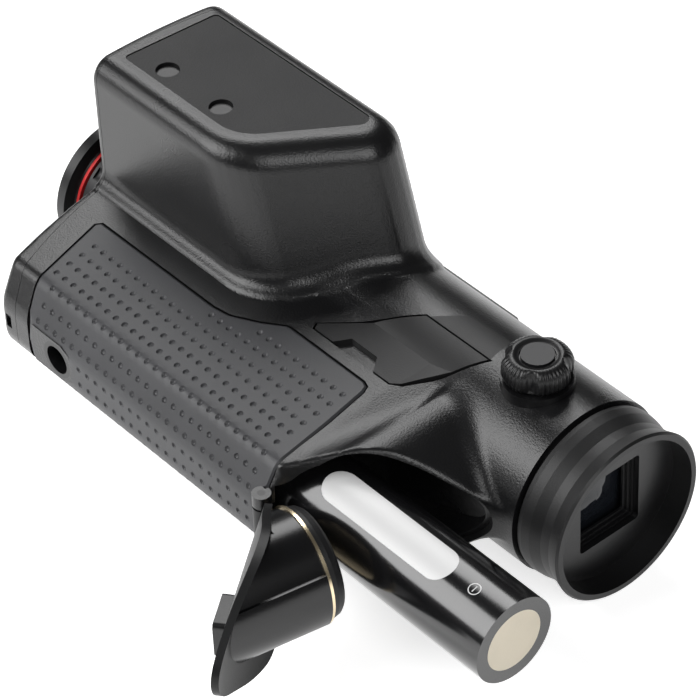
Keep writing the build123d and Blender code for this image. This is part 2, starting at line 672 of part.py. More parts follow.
with BuildPart() as flap_anchor:
    add(skin_shell.part)
    add(anchor_prism.part, mode=Mode.INTERSECT)
flap_anchor.part.label = "flap_anchor"
export_step(flap_anchor.part, "parts/flap_anchor.step")

with BuildPart() as usb_socket:
    add(block(-60.0, -51.0, -12.2, -9.0, 8.5, 13.6))
    add(block(-59.6, -51.4, -11.8, -9.4, 9.5, 14.0), mode=Mode.SUBTRACT)
    add(block(-58.6, -52.4, -10.9, -10.3, 9.5, 12.8))
usb_socket.part.label = "usb_socket"
export_step(usb_socket.part, "parts/usb_socket.step")

# ---------------------------------------------------------------- buttons on the top
with BuildPart() as button_panel:
    add(cyl_x(-107.0, -50.5, 0, 0, TUBE_R + 1.1))
    add(cyl_x(-108.0, -50.0, 0, 0, TUBE_R), mode=Mode.SUBTRACT)
    add(block(-107.0, -50.5, 5, 25, -7.5, 7.5), mode=Mode.INTERSECT)
    for x in BUTTONS:
        add(cyl_y(x, 0, 12, 30, 4.3), mode=Mode.SUBTRACT)
button_panel.part.label = "button_panel"
export_step(button_panel.part, "parts/button_panel.step")


def push_button(x):
    """One round push button with an eased top edge."""
    with BuildPart() as key:
        add(cyl_y(x, 0, 15.4, 21.0, 4.0))
        chamfer(key.faces().sort_by(Axis.Y)[-1].edges(), length=0.5)
    return key.part


with BuildPart() as button_1:
    add(push_button(BUTTONS[0]))
button_1.part.label = "button_1"
export_step(button_1.part, "parts/button_1.step")

with BuildPart() as button_2:
    add(push_button(BUTTONS[1]))
button_2.part.label = "button_2"
export_step(button_2.part, "parts/button_2.step")

with BuildPart() as button_3:
    add(push_button(BUTTONS[2]))
button_3.part.label = "button_3"
export_step(button_3.part, "parts/button_3.step")

with BuildPart() as button_4:
    add(push_button(BUTTONS[3]))
button_4.part.label = "button_4"
export_step(button_4.part, "parts/button_4.step")

# ---------------------------------------------------------------- battery bay and cell
with BuildPart() as battery_tube:
    add(cyl_x(TUBE_X, BAY_X, CELL_Y, 0, TUBE_OUT))
    add(cyl_x(TUBE_X + 1.0, -40.0, CELL_Y, 0, TUBE_BORE), mode=Mode.SUBTRACT)
battery_tube.part.label = "battery_tube"
export_step(battery_tube.part, "parts/battery_tube.step")

with BuildPart() as front_contact:
    add(cyl_x(TUBE_X + 1.0, TUBE_X + 1.5, CELL_Y, 0, 6.0))
    add(cyl_x(TUBE_X + 1.5, TUBE_X + 2.6, CELL_Y, 0, 2.0))
front_contact.part.label = "front_contact"
export_step(front_contact.part, "parts/front_contact.step")

LABEL_X0, LABEL_X1, LABEL_HALF = -40.2, -5.1, 3.7
with BuildPart() as label_prism:
    tilt = Plane(origin=((LABEL_X0 + LABEL_X1) / 2, CELL_Y, 0), x_dir=(1, 0, 0), z_dir=(0, -0.25, 0.968))
    with BuildSketch(tilt):
        SlotOverall(LABEL_X1 - LABEL_X0, 2 * LABEL_HALF)
    extrude(amount=14)
    add(cyl_x(-60, 10, CELL_Y, 0, CELL_R - 0.12), mode=Mode.SUBTRACT)
    add(cyl_x(-60, 10, CELL_Y, 0, CELL_R), mode=Mode.INTERSECT)

with BuildPart() as cell_can:
    add(cyl_x(CELL_BACK - CELL_LEN + 1.5, CELL_BACK, CELL_Y, 0, CELL_R))
    add(cyl_x(CELL_BACK - 0.4, CELL_BACK + 1, CELL_Y, 0, 6.55), mode=Mode.SUBTRACT)
    add(label_prism.part, mode=Mode.SUBTRACT)
cell_can.part.label = "cell_can"
export_step(cell_can.part, "parts/cell_can.step")

with BuildPart() as cell_end_disc:
    add(cyl_x(CELL_BACK - 0.4, CELL_BACK, CELL_Y, 0, 6.55))
cell_end_disc.part.label = "cell_end_disc"
export_step(cell_end_disc.part, "parts/cell_end_disc.step")

with BuildPart() as cell_positive_cap:
    add(cyl_x(CELL_BACK - CELL_LEN, CELL_BACK - CELL_LEN + 1.5, CELL_Y, 0, 3.0))
cell_positive_cap.part.label = "cell_positive_cap"
export_step(cell_positive_cap.part, "parts/cell_positive_cap.step")

with BuildPart() as cell_label:
    add(label_prism.part)
cell_label.part.label = "cell_label"
export_step(cell_label.part, "parts/cell_label.step")

# ---------------------------------------------------------------- battery door, drawn closed
LATCH_S = 27.5            # middle of the thumb latch, from the hinge
with BuildPart() as leaf_hollow:
    add(belly(BELLY_R - LEAF_T, 60.0))

with BuildPart() as latch_well:
    with BuildSketch(Plane(origin=(HINGE_X, HINGE_Y, 0), x_dir=ALONG, z_dir=INWARD).offset(-4.0)):
        with Locations((LATCH_S, 0)):
            RectangleRounded(13.0, 9.0, 1.2)
    extrude(amount=4.0 + 0.7)

with BuildPart() as leaf_closed:
    add(leaf_prism(LEAF_GAP, -10.0, 12.0))
    add(belly(BELLY_R, 60.0), mode=Mode.INTERSECT)
    add(leaf_hollow.part, mode=Mode.SUBTRACT)
    add(cyl_z(HINGE_X, HINGE_Y, -4.7, 4.7, KNUCKLE_R))
    add(hinge_slab(4.7, 0.5, 4.0, 0.2, 1.5))
    for side in (1, -1):
        add(cyl_z(HINGE_X, HINGE_Y, side * 4.7, side * 8.4, KNUCKLE_R + 0.4), mode=Mode.SUBTRACT)
    add(cyl_z(HINGE_X, HINGE_Y, -9, 9, 0.85), mode=Mode.SUBTRACT)
    add(latch_well.part, mode=Mode.SUBTRACT)

with BuildPart() as door_leaf:
    add(door_turn(leaf_closed.part, -DOOR_OPEN))
door_leaf.part.label = "door_leaf"
export_step(door_leaf.part, "parts/door_leaf.step")

with BuildPart() as barrel_room:
    add(leaf_prism(1.6, -10.0, 60.0))
    add(block(-80, RING_X + 6.0, -60, -20, -20, 20))

with BuildPart() as strip_bar:
    add(cyl_x(RING_X + 0.65, -10.0, CELL_Y, 0, RING_R + 0.2))
    add(block(-60, 0, CELL_Y, 0, -6.3, 6.3), mode=Mode.INTERSECT)

with BuildPart() as barrel_closed:
    add(turned([(PLUG_X + 1.2, 0.0), (PLUG_X + 1.2, 8.4), (RING_X, 8.4), (RING_X, 11.2),
                (RING_X + 0.65, 11.2), (RING_X + 0.65, BARREL_R), (-12.0, BARREL_R),
                (-12.0, BARREL_R - 1.6), (RING_X + 2.4, BARREL_R - 1.6), (RING_X + 2.4, 0.0)], CELL_Y, 0))
    add(strip_bar.part)
    add(cyl_x(RING_X + 2.4, -10.0, CELL_Y, 0, BARREL_R - 1.6), mode=Mode.SUBTRACT)
    add(leaf_hollow.part, mode=Mode.INTERSECT)
    add(barrel_room.part, mode=Mode.INTERSECT)
    add(cyl_z(HINGE_X, HINGE_Y, -14, 14, KNUCKLE_R + 0.4), mode=Mode.SUBTRACT)
    add(latch_well.part, mode=Mode.SUBTRACT)

with BuildPart() as door_barrel:
    add(door_turn(barrel_closed.part, -DOOR_OPEN))
door_barrel.part.label = "door_barrel"
export_step(door_barrel.part, "parts/door_barrel.step")

with BuildPart() as ring_closed:
    add(cyl_x(RING_X, RING_X + 0.65, CELL_Y, 0, RING_R))
    add(cyl_x(RING_X - 1.0, RING_X + 2.0, CELL_Y, 0, 11.2), mode=Mode.SUBTRACT)
    add(cyl_z(HINGE_X, HINGE_Y, -14, 14, KNUCKLE_R + 0.4), mode=Mode.SUBTRACT)

with BuildPart() as door_ring:
    add(door_turn(ring_closed.part, -DOOR_OPEN))
door_ring.part.label = "door_ring"
export_step(door_ring.part, "parts/door_ring.step")

with BuildPart() as seal_closed:
    add(turned([(RING_X, 8.4), (RING_X, 11.4), (RING_X - 1.2, 11.4), (RING_X - 2.3, 11.1),
                (PLUG_X + 0.2, 10.6), (PLUG_X, 10.1), (PLUG_X, 8.4)], CELL_Y, 0))

with BuildPart() as door_seal:
    add(door_turn(seal_closed.part, -DOOR_OPEN))
door_seal.part.label = "door_seal"
export_step(door_seal.part, "parts/door_seal.step")

with BuildPart() as contact_closed:
    add(cyl_x(PLUG_X + 0.7, PLUG_X + 1.2, CELL_Y, 0, 8.4))

with BuildPart() as door_contact_ring:
    add(door_turn(contact_closed.part, -DOOR_OPEN))
door_contact_ring.part.label = "door_contact_ring"
export_step(door_contact_ring.part, "parts/door_contact_ring.step")

with BuildPart() as latch_closed:
    with BuildSketch(Plane(origin=(HINGE_X, HINGE_Y, 0), x_dir=ALONG, z_dir=INWARD).offset(-2.2)):
        with Locations((LATCH_S, 0)):
            RectangleRounded(9.0, 8.4, 1.0)
    extrude(amount=2.2 + 0.7)

with BuildPart() as door_latch:
    add(door_turn(latch_closed.part, -DOOR_OPEN))
door_latch.part.label = "door_latch"
export_step(door_latch.part, "parts/door_latch.step")

with BuildPart() as door_hinge_pin:
    add(cyl_z(HINGE_X, HINGE_Y, -8.0, 8.0, 0.8))
door_hinge_pin.part.label = "door_hinge_pin"
export_step(door_hinge_pin.part, "parts/door_hinge_pin.step")
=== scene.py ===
import json
import math

import bmesh
import bpy
import numpy as np
from mathutils import Matrix, Vector
from mathutils.geometry import delaunay_2d_cdt


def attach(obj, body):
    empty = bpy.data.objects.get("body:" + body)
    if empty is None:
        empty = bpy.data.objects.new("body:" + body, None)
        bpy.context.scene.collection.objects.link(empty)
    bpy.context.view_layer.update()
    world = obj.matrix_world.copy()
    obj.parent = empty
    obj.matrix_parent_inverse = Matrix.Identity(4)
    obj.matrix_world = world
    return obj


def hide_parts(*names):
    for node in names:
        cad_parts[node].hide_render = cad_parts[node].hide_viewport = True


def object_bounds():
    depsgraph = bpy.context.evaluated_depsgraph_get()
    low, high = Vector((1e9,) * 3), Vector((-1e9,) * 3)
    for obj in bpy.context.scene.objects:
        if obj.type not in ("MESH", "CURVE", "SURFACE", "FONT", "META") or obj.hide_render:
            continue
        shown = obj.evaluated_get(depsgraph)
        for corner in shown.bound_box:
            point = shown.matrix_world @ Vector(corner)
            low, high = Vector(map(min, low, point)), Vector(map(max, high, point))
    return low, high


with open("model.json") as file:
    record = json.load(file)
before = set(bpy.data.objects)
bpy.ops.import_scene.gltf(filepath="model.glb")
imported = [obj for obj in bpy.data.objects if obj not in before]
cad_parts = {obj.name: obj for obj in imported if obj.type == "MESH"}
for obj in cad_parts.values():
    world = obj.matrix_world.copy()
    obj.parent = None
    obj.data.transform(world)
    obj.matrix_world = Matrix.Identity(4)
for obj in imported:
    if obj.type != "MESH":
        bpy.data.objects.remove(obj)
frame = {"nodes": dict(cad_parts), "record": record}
cad_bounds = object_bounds()
nodes = frame["nodes"]
MM = 0.001

# ---------------------------------------------------------------- sizes, in millimetres
# X runs along the tube to the eye end at 0, Y from the battery door to the buttons, and Z from
# the side that the object rests on to the range finder's roof. Cutting tools run past the body,
# so their far ends, such as -150, 60 or 80, only have to clear it.
TUBE_R = 18.8
TUBE_END = -12.0
WALL = 2.0
HOUSING_X = (-136.0, -9.0)
HOUSING_GRID, BEZEL_GRID = 0.66, 0.6
HOUSING_BOX = ((-137.6, -55.0, -21.0), (-7.4, 21.0, 47.0))
BEZEL_BOX = ((-137.0, -55.0, -21.0), (-116.0, 21.0, 47.0))

# Grip: half of its section as (y, z), and how it sinks below the battery bay's fairing.
GRIP_SECTION = [(0.0, 14.0), (-9.0, 16.17), (-46.4, 11.85), (-51.2, 4.7)]
GRIP_ROUND = [0.0, 0.0, 3.0, 7.0]
GRIP_END = -38.5
GRIP_SINK, SINK_X = 0.6, (-46.0, -38.5)
GRIP_BLEND = 1.2
TUBE_BLEND, BLEND_X = (1.2, 3.0), (-40.0, -28.0)

# Rubber pad on the grip, and the seam and face of the front bezel as arcs seen along Z.
PAD_PROUD = 0.2
PAD_DEEP = 1.2
PAD_GAP = 0.35
SEAM_X, SEAM_Y, SEAM_R = -36.7, -11.0, 96.0
SEAM_GAP = 0.1
BEZEL_X, BEZEL_R = 9.7, 144.0
BEZEL_EDGE, BEZEL_BACK = 1.1, -118.0

# Range finder housing, on its ledge.
HUMP_TOP, HUMP_EDGE = 45.0, 4.5
HUMP_X, HUMP_Y = (-82.8, -58.85), (-20.0, 13.2)
HUMP_CORNERS = (16.0, 7.0)
HUMP_RAKE = 0.3
HUMP_FOOT_Z, HUMP_ROOT = 13.0, 8.0
HUMP_FILLET = 3.6
LEDGE_OUT, LEDGE_UP, LEDGE_EDGE = 2.4, 0.5, 0.3

# Boss that the object rests on, with its case screws.
REST_Z, BOSS_ROOT = -18.9, -10.0
BOSS_X, BOSS_Y = -71.0, -8.5
BOSS_HALF_X, BOSS_HALF_Y = 35.0, 6.5
BOSS_ROUND, BOSS_CHAMFER = 6.0, 1.2
SCREWS = [-106.0, -84.0, -62.0]
SCREW_Y, SCREW_R, SCREW_DEEP = -18.0, 2.0, 1.6

# Openings at the front, the eye end and the sides.
LENS_Y, LENS_R = -7.0, 13.3
RECEIVER_Y, RECEIVER_R = -9.0, 8.0
EMITTER_Y, EMITTER_R = 6.0, 4.0
WINDOW_Z = 30.0
LANYARD_X, LANYARD_HALF = (-127.4, -125.7), 1.6
EYE_OUT, EYE_BORE_X = 15.2, -17.0
KNOB_X, KNOB_SEAT_Z, KNOB_SEAT_R = -24.9, 15.3, 7.2
BUTTONS = [-99.0, -85.0, -71.0, -58.0]
BUTTON_HOLE_R = 4.3
TRIPOD_X, TRIPOD_R = -110.3, 4.2
PLATE_Y, THREAD_Y = (-54.0, -48.0), (-52, -47.0)
SOCKET = (-60, -51, -12.2, -9.0, 8, 20)
PLATE_DEEP, PLATE_GAP = 1.0, 0.12
PLATE_SCREW_R, PLATE_SCREW_Z = 2.0, 42.9
FLAP_DEEP = 1.25

# Battery bay, its door and the hinge.
CELL_Y = -37.6
BAY_X, BAY_R = -50.3, 12.6
TUBE_X, TUBE_OUT = -121.5, 10.3
HINGE_X, HINGE_Y = -46.0, -51.4
HINGE_LUGS, LUG_LENGTH, LUG_R = (5.2, -8.0), 2.8, 1.9
PIN_R, PIN_HALF = 0.8, 9
BARREL_R, BARREL_HALF = 2.35, 4.95
LEAF_TILT = math.radians(48.0)
BELLY_R = 26.0
LEAF_T, LEAF_GAP = 1.5, 0.3
ROOM_SHRINK, ROOM_TOP = 1.3, -18.2
ROOM_DEPTHS, SEAT_DEPTHS = (-4.0, 24.0), (-10.0, 12.0)
BARREL_NOTCH = (0.0, 4.0, -3.0, 3.0)

# Flanks round the battery bay: x, lowest y, half width there, and distance that the flank
# keeps from the tube's axis.
FAIRING_SKIRT = 6.0
FAIRING = np.array([(-56.0, -38.0, 12.3, 16.6), (-46.5, -40.6, 12.45, 16.9),
                    (-41.0, -40.2, 13.6, 17.2), (-37.5, -36.4, 14.6, 17.6),
                    (-33.1, -31.5, 14.3, 18.1), (-28.4, -27.1, 12.3, 18.4),
                    (-23.2, -23.3, 8.9, 18.5), (-18.4, -20.5, 5.0, 18.5),
                    (-13.0, -18.9, 1.6, 18.5), (-6.0, -18.9, 1.6, 18.5)])

# Edge of the door, as distance from the hinge and half width.
LEAF = [(43.4, 0.0), (42.9, 2.4), (41.2, 4.6), (38.9, 6.3), (36.0, 8.1), (33.1, 9.8),
        (29.6, 11.5), (26.1, 12.8), (23.1, 13.6), (20.3, 13.95), (17.4, 13.95), (15.0, 13.6),
        (12.6, 12.8), (10.4, 11.7), (7.0, 10.0), (4.2, 8.8), (2.4, 8.3)]

# Directions along the closed door from its hinge, into the body, and along the hinge.
ALONG = np.array([math.cos(LEAF_TILT), math.sin(LEAF_TILT), 0.0])
INWARD = np.array([-math.sin(LEAF_TILT), math.cos(LEAF_TILT), 0.0])
ACROSS = np.array([0.0, 0.0, 1.0])
HINGE = np.array([HINGE_X, HINGE_Y, 0.0])

# Outlines cut into the body: (x, y), but PANEL is (x, z) about the tripod thread.
PAD_LINE = [(-124.6, -29.0), (-123.8, -28.0), (-88.0, -28.0), (-84.0, -27.4), (-77.7, -24.5),
            (-73.2, -21.7), (-72.2, -21.5), (-50.6, -21.5), (-49.2, -22.0), (-48.6, -23.4),
            (-47.6, -33.0), (-46.6, -49.0), (-46.6, -56.0), (-118.0, -56.0), (-120.8, -48.0)]
PANEL = [(-7.7, -4.5), (1.7, -4.5), (4.1, -3.4), (4.7, 0.0), (4.1, 3.4), (1.7, 4.5), (-7.7, 4.5)]
FLAP_POCKET = [(-53.6, -2.4), (-34.8, -2.4), (-44.2, -17.3), (-46.5, -18.8), (-68.9, -18.8),
               (-69.7, -17.3)]
ANCHOR = [(-52.6, -2.4), (-35.4, -2.4), (-36.5, 3.9), (-47.5, 3.4)]
PLATE = [(-129.1, 8.7), (-79.3, 8.9), (-95.5, -14.0), (-130.6, -13.9)]
PLATE_ROUND = [1.0, 2.0, 10.0, 1.0]
PLATE_SCREWS = [(-121.5, -10.1), (-104.8, -10.1)]


# ---------------------------------------------------------------- shape fields
def rounded_outline(points, radii, steps=7):
    """Closed outline with an arc of the given radius at each corner."""
    out = []
    count = len(points)
    for i in range(count):
        p = np.array(points[i], float)
        a = np.array(points[i - 1], float) - p
        b = np.array(points[(i + 1) % count], float) - p
        r = radii[i]
        if r <= 0:
            out.append(p)
            continue
        a /= np.linalg.norm(a)
        b /= np.linalg.norm(b)
        half = math.acos(np.clip(a @ b, -1, 1)) / 2
        centre = p + (a + b) / np.linalg.norm(a + b) * r / math.sin(half)
        start = p + a * r / math.tan(half) - centre
        end = p + b * r / math.tan(half) - centre
        a0 = math.atan2(start[1], start[0])
        sweep = math.atan2(end[1], end[0]) - a0
        sweep = (sweep + math.pi) % (2 * math.pi) - math.pi
        for k in range(steps + 1):
            t = a0 + sweep * k / steps
            out.append(centre + r * np.array([math.cos(t), math.sin(t)]))
    return np.array(out)


def outline_distance(u, v, outline):
    """Signed distance of (u, v) from a closed outline, negative inside."""
    best = None
    inside = None
    count = len(outline)
    for i in range(count):
        (ax, ay), (bx, by) = outline[i], outline[(i + 1) % count]
        ex, ey = bx - ax, by - ay
        wx, wy = u - ax, v - ay
        t = np.clip((wx * ex + wy * ey) / (ex * ex + ey * ey + 1e-12), 0, 1)
        d = (wx - ex * t) ** 2 + (wy - ey * t) ** 2
        best = d if best is None else np.minimum(best, d)
        crosses = ((ay <= v) & (by > v)) | ((by <= v) & (ay > v))
        side = (wx * ey - wy * ex) * (1 if ey > 0 else -1) < 0
        hit = crosses & side
        inside = hit if inside is None else inside ^ hit
    d = np.sqrt(best)
    return np.where(inside, -d, d)


def union(a, b, k):
    """Smooth union of two distances, blended over k."""
    h = np.clip(k - np.abs(a - b), 0, None) / k
    return np.minimum(a, b) - h * h * k / 4


def meet(a, b, r):
    """Intersection of two distances with the edge between them rounded to r."""
    outer = np.sqrt(np.clip(a + r, 0, None) ** 2 + np.clip(b + r, 0, None) ** 2)
    return np.minimum(np.maximum(a + r, b + r), 0) + outer - r


def smooth_path(points, steps=5):
    """Open path through points, rounded between them."""
    p = np.asarray(points, float)
    ext = np.vstack([2 * p[0] - p[1], p, 2 * p[-1] - p[-2]])
    out = []
    for i in range(1, len(ext) - 2):
        a, b, c, d = ext[i - 1:i + 3]
        for k in range(steps):
            t = k / steps
            out.append(0.5 * (2 * b + (c - a) * t + (2 * a - 5 * b + 4 * c - d) * t * t
                              + (3 * b - 3 * c + d - a) * t ** 3))
    out.append(p[-1])
    return np.array(out)


FLOW = smooth_path(FAIRING, 8)
grip_outline = rounded_outline(GRIP_SECTION + [(y, -z) for y, z in reversed(GRIP_SECTION)],
                               GRIP_ROUND + GRIP_ROUND[::-1])
hump_outline = rounded_outline([(-150.0, HUMP_Y[0]), (HUMP_X[0], HUMP_Y[0]),
                                (HUMP_X[1], HUMP_Y[1]), (-150.0, HUMP_Y[1])],
                               [0.0, *HUMP_CORNERS, 0.0])


def belly_field(x, y, z):
    """Distance from the curved underside round the battery door, negative in the body."""
    rise = BELLY_R - (x - HINGE_X) * INWARD[0] - (y - HINGE_Y) * INWARD[1]
    return np.where(rise > 0, np.sqrt(rise * rise + z * z), np.abs(z)) - BELLY_R


def fairing_field(x, y, z):
    """The housing round the battery bay, its flanks running up to the tube."""
    low_y, low_z, reach = (np.interp(x, FLOW[:, 0], FLOW[:, k]) for k in (1, 2, 3))
    turn = np.arctan2(low_z, low_y) - np.arccos(reach / np.hypot(low_y, low_z))
    flank = y * np.cos(turn) + np.abs(z) * np.sin(turn) - reach
    above = y * np.sin(turn) - np.abs(z) * np.cos(turn)
    sides = np.maximum(np.abs(z) - low_z, low_y - FAIRING_SKIRT - y)
    return np.maximum(np.maximum(flank, above), np.maximum(sides, FAIRING[0, 0] - x))


def trunk_field(x, y, z):
    """Tube, grip and bay housing run together."""
    tube = np.sqrt(y * y + z * z) - TUBE_R
    sink = np.interp(x, SINK_X, (0.0, GRIP_SINK))
    grip = np.maximum(outline_distance(y, z, grip_outline) + sink, x - GRIP_END)
    lower = np.maximum(union(grip, fairing_field(x, y, z), GRIP_BLEND),
                       np.minimum(belly_field(x, y, z), x - HINGE_X))
    return union(tube, lower, np.interp(x, BLEND_X, TUBE_BLEND))


def boss_field(x, y, z):
    """Flat boss on the far side, which the object rests on."""
    side = np.hypot(np.clip(np.abs(x - BOSS_X) - BOSS_HALF_X, 0, None),
                    np.clip(np.abs(y - BOSS_Y) - BOSS_HALF_Y, 0, None)) - BOSS_ROUND
    chamfer = side - (z - REST_Z) + BOSS_CHAMFER
    return np.maximum(np.maximum(side, REST_Z - z), np.maximum(chamfer, z - BOSS_ROOT))


def body_field(x, y, z):
    """The whole moulded body; the range finder housing stands on a low ledge."""
    trunk = trunk_field(x, y, z)
    wall = outline_distance(x + HUMP_RAKE * (z - HUMP_FOOT_Z), y, hump_outline)
    ledge = meet(wall - LEDGE_OUT, trunk - LEDGE_UP, LEDGE_EDGE)
    trunk = np.minimum(trunk, np.maximum(ledge, HUMP_ROOT - z))
    hump = np.maximum(meet(wall, z - HUMP_TOP, HUMP_EDGE), HUMP_ROOT - z)
    return np.minimum(union(trunk, hump, HUMP_FILLET), boss_field(x, y, z))


def housing_field(x, y, z):
    """The body with blunt ends, to be trimmed later."""
    return np.maximum(body_field(x, y, z), np.maximum(x - HOUSING_X[1], HOUSING_X[0] - x))


def bezel_field(x, y, z):
    """The front of the body behind a curved face with eased edges."""
    face = np.hypot(x - BEZEL_X, y - SEAM_Y) - BEZEL_R
    return np.maximum(meet(body_field(x, y, z), face, BEZEL_EDGE), x - BEZEL_BACK)


def polygonise(field, low, high, step, passes=4):
    """Closed quad mesh of field = 0 inside a box, by surface nets and a few Newton passes."""
    axes = [np.arange(a, b + step, step) for a, b in zip(low, high)]
    gx = axes[0][:, None, None]
    gy = axes[1][None, :, None]
    gz = axes[2][None, None, :]
    f = field(gx, gy, gz) + 0 * (gx + gy + gz)
    solid = f < 0
    n = np.array(f.shape)
    total = np.zeros(tuple(n - 1) + (3,))
    hits = np.zeros(tuple(n - 1))
    for axis in range(3):
        lo = [slice(None)] * 3
        hi = [slice(None)] * 3
        lo[axis] = slice(0, n[axis] - 1)
        hi[axis] = slice(1, n[axis])
        fa, fb = f[tuple(lo)], f[tuple(hi)]
        change = (fa < 0) != (fb < 0)
        t = np.where(change, fa / np.where(change, fa - fb, 1), 0)
        others = [k for k in range(3) if k != axis]
        for da in (0, 1):
            for db in (0, 1):
                cut = [slice(None)] * 3
                cut[others[0]] = slice(da, n[others[0]] - 1 + da)
                cut[others[1]] = slice(db, n[others[1]] - 1 + db)
                c = change[tuple(cut)]
                hits += c
                total[..., axis] += np.where(c, t[tuple(cut)], 0)
                total[..., others[0]] += c * da
                total[..., others[1]] += c * db
    active = hits > 0
    index = -np.ones(active.shape, int)
    index[active] = np.arange(active.sum())
    cell = np.argwhere(active)
    verts = np.array(low) + (cell + total[active] / hits[active][:, None]) * step
    quads = []
    for axis in range(3):
        b, c = [k for k in range(3) if k != axis]
        if axis == 1:
            b, c = c, b
        lo = [slice(1, -1)] * 3
        hi = [slice(1, -1)] * 3
        lo[axis] = slice(0, n[axis] - 1)
        hi[axis] = slice(1, n[axis])
        sa, sb = solid[tuple(lo)], solid[tuple(hi)]
        where = np.argwhere(sa != sb)
        flip = sa[sa != sb]
        base = where.copy()
        for k in (b, c):
            base[:, k] += 1
        ring = []
        for db, dc in ((1, 1), (0, 1), (0, 0), (1, 0)):
            q = base.copy()
            q[:, b] -= db
            q[:, c] -= dc
            ring.append(index[q[:, 0], q[:, 1], q[:, 2]])
        ring = np.stack(ring, 1)
        ring[~flip] = ring[~flip][:, ::-1]
        quads.append(ring)
    quads = np.concatenate(quads)
    for _ in range(passes):
        verts = settle(field, verts, step)
    return verts, quads


def settle(field, p, step, e=0.02, least_slope=0.05):
    """Move points along the field's slope on to its zero surface, half a step at most."""
    x, y, z = p.T
    here = field(x, y, z)
    slope = np.stack([field(x + e, y, z) - field(x - e, y, z),
                      field(x, y + e, z) - field(x, y - e, z),
                      field(x, y, z + e) - field(x, y, z - e)], 1) / (2 * e)
    size = np.clip((slope ** 2).sum(1), least_slope, None)
    move = -slope * (here / size)[:, None]
    length = np.linalg.norm(move, axis=1, keepdims=True) + 1e-9
    return p + move * np.minimum(1, 0.5 * step / length)


# ---------------------------------------------------------------- cutting tools
def solid_object(name, verts, faces):
    """Plain closed mesh object from points in millimetres, with outward faces."""
    mesh = bpy.data.meshes.new(name)
    mesh.from_pydata([tuple(v) for v in np.asarray(verts, float) * MM], [],
                     [tuple(int(i) for i in f) for f in faces])
    bm = bmesh.new()
    bm.from_mesh(mesh)
    bmesh.ops.recalc_face_normals(bm, faces=bm.faces)
    if bm.calc_volume(signed=True) < 0:
        bmesh.ops.reverse_faces(bm, faces=bm.faces)
    bm.to_mesh(mesh)
    bm.free()
    obj = bpy.data.objects.new(name, mesh)
    bpy.context.scene.collection.objects.link(obj)
    return obj


def sweep(loop, start, end):
    """Closed prism: loop of 3-D points moved by start and by end."""
    loop = np.asarray(loop, float)
    n = len(loop)
    verts = np.concatenate([loop + np.asarray(start, float), loop + np.asarray(end, float)])
    faces = [tuple(range(n))[::-1], tuple(range(n, 2 * n))]
    faces += [(i, (i + 1) % n, n + (i + 1) % n, n + i) for i in range(n)]
    return solid_object("cutter", verts, faces)


def prism_z(points, z0, z1):
    """Outline of (x, y) points raised from z0 to z1."""
    return sweep([(x, y, 0) for x, y in points], (0, 0, z0), (0, 0, z1))


def prism_x(points, x0, x1):
    """Outline of (y, z) points swept from x0 to x1."""
    return sweep([(0, y, z) for y, z in points], (x0, 0, 0), (x1, 0, 0))


def prism_y(points, y0, y1):
    """Outline of (x, z) points swept from y0 to y1."""
    return sweep([(x, 0, z) for x, z in points], (0, y0, 0), (0, y1, 0))


def circle(u, v, r, n=64):
    """Points round a circle about (u, v)."""
    turns = [2 * math.pi * i / n for i in range(n)]
    return [(u + r * math.cos(t), v + r * math.sin(t)) for t in turns]


def rod_x(x0, x1, y, z, r, n=64):
    """Round rod along X."""
    return prism_x(circle(y, z, r, n), x0, x1)


def rod_y(x, z, y0, y1, r, n=48):
    """Round rod along Y."""
    return prism_y(circle(x, z, r, n), y0, y1)


def rod_z(x, y, z0, z1, r, n=48):
    """Round rod along Z."""
    return prism_z(circle(x, y, r, n), z0, z1)


def brick(x0, x1, y0, y1, z0, z1):
    """Square block."""
    return prism_z([(x0, y0), (x1, y0), (x1, y1), (x0, y1)], z0, z1)


def cut(target, tool, mode="DIFFERENCE", keep=False):
    """Boolean of target with tool, applied at once."""
    mod = target.modifiers.new("cut", "BOOLEAN")
    mod.operation = mode
    mod.solver = "MANIFOLD"
    mod.object = tool
    deps = bpy.context.evaluated_depsgraph_get()
    fresh = bpy.data.meshes.new_from_object(target.evaluated_get(deps))
    target.modifiers.clear()
    old = target.data
    target.data = fresh
    bpy.data.meshes.remove(old)
    if not keep:
        spent = tool.data
        bpy.data.objects.remove(tool)
        bpy.data.meshes.remove(spent)
    return target


def grown(outline, amount):
    """Closed outline moved outwards along its normals."""
    nxt = np.roll(outline, -1, 0) - np.roll(outline, 1, 0)
    normal = np.stack([nxt[:, 1], -nxt[:, 0]], 1)
    normal /= np.linalg.norm(normal, axis=1, keepdims=True) + 1e-12
    x, y = outline.T
    area = (x * np.roll(y, -1) - np.roll(x, -1) * y).sum()
    return outline + normal * amount * (1 if area > 0 else -1)


def leaf_outline(shrink):
    """Closed outline of the door in its own slope, drawn in by shrink."""
    half = [(LEAF[0][0] - shrink, 0.0)]
    for (s0, w0), (s1, w1), (s2, w2) in zip(LEAF, LEAF[1:], LEAF[2:]):
        size = math.hypot(s2 - s0, w2 - w0)
        half.append((s1 - shrink * (w2 - w0) / size, w1 + shrink * (s2 - s0) / size))
    half.append((LEAF[-1][0] + shrink, LEAF[-1][1] - shrink))
    return smooth_path([(d, -w) for d, w in reversed(half[1:])] + half, 4)


def on_slope(points):
    """Points of the closed door's slope placed in space."""
    return [HINGE + ALONG * s + ACROSS * w for s, w in points]


def leaf_block(shrink, low, high):
    """Prism on the door outline between two depths."""
    return sweep(on_slope(leaf_outline(shrink)), INWARD * low, INWARD * high)


def slope_block(half_width, s0, s1, low, high):
    """Block in the slope of the closed door."""
    corners = [(s0, -half_width), (s1, -half_width), (s1, half_width), (s0, half_width)]
    return sweep(on_slope(corners), INWARD * low, INWARD * high)


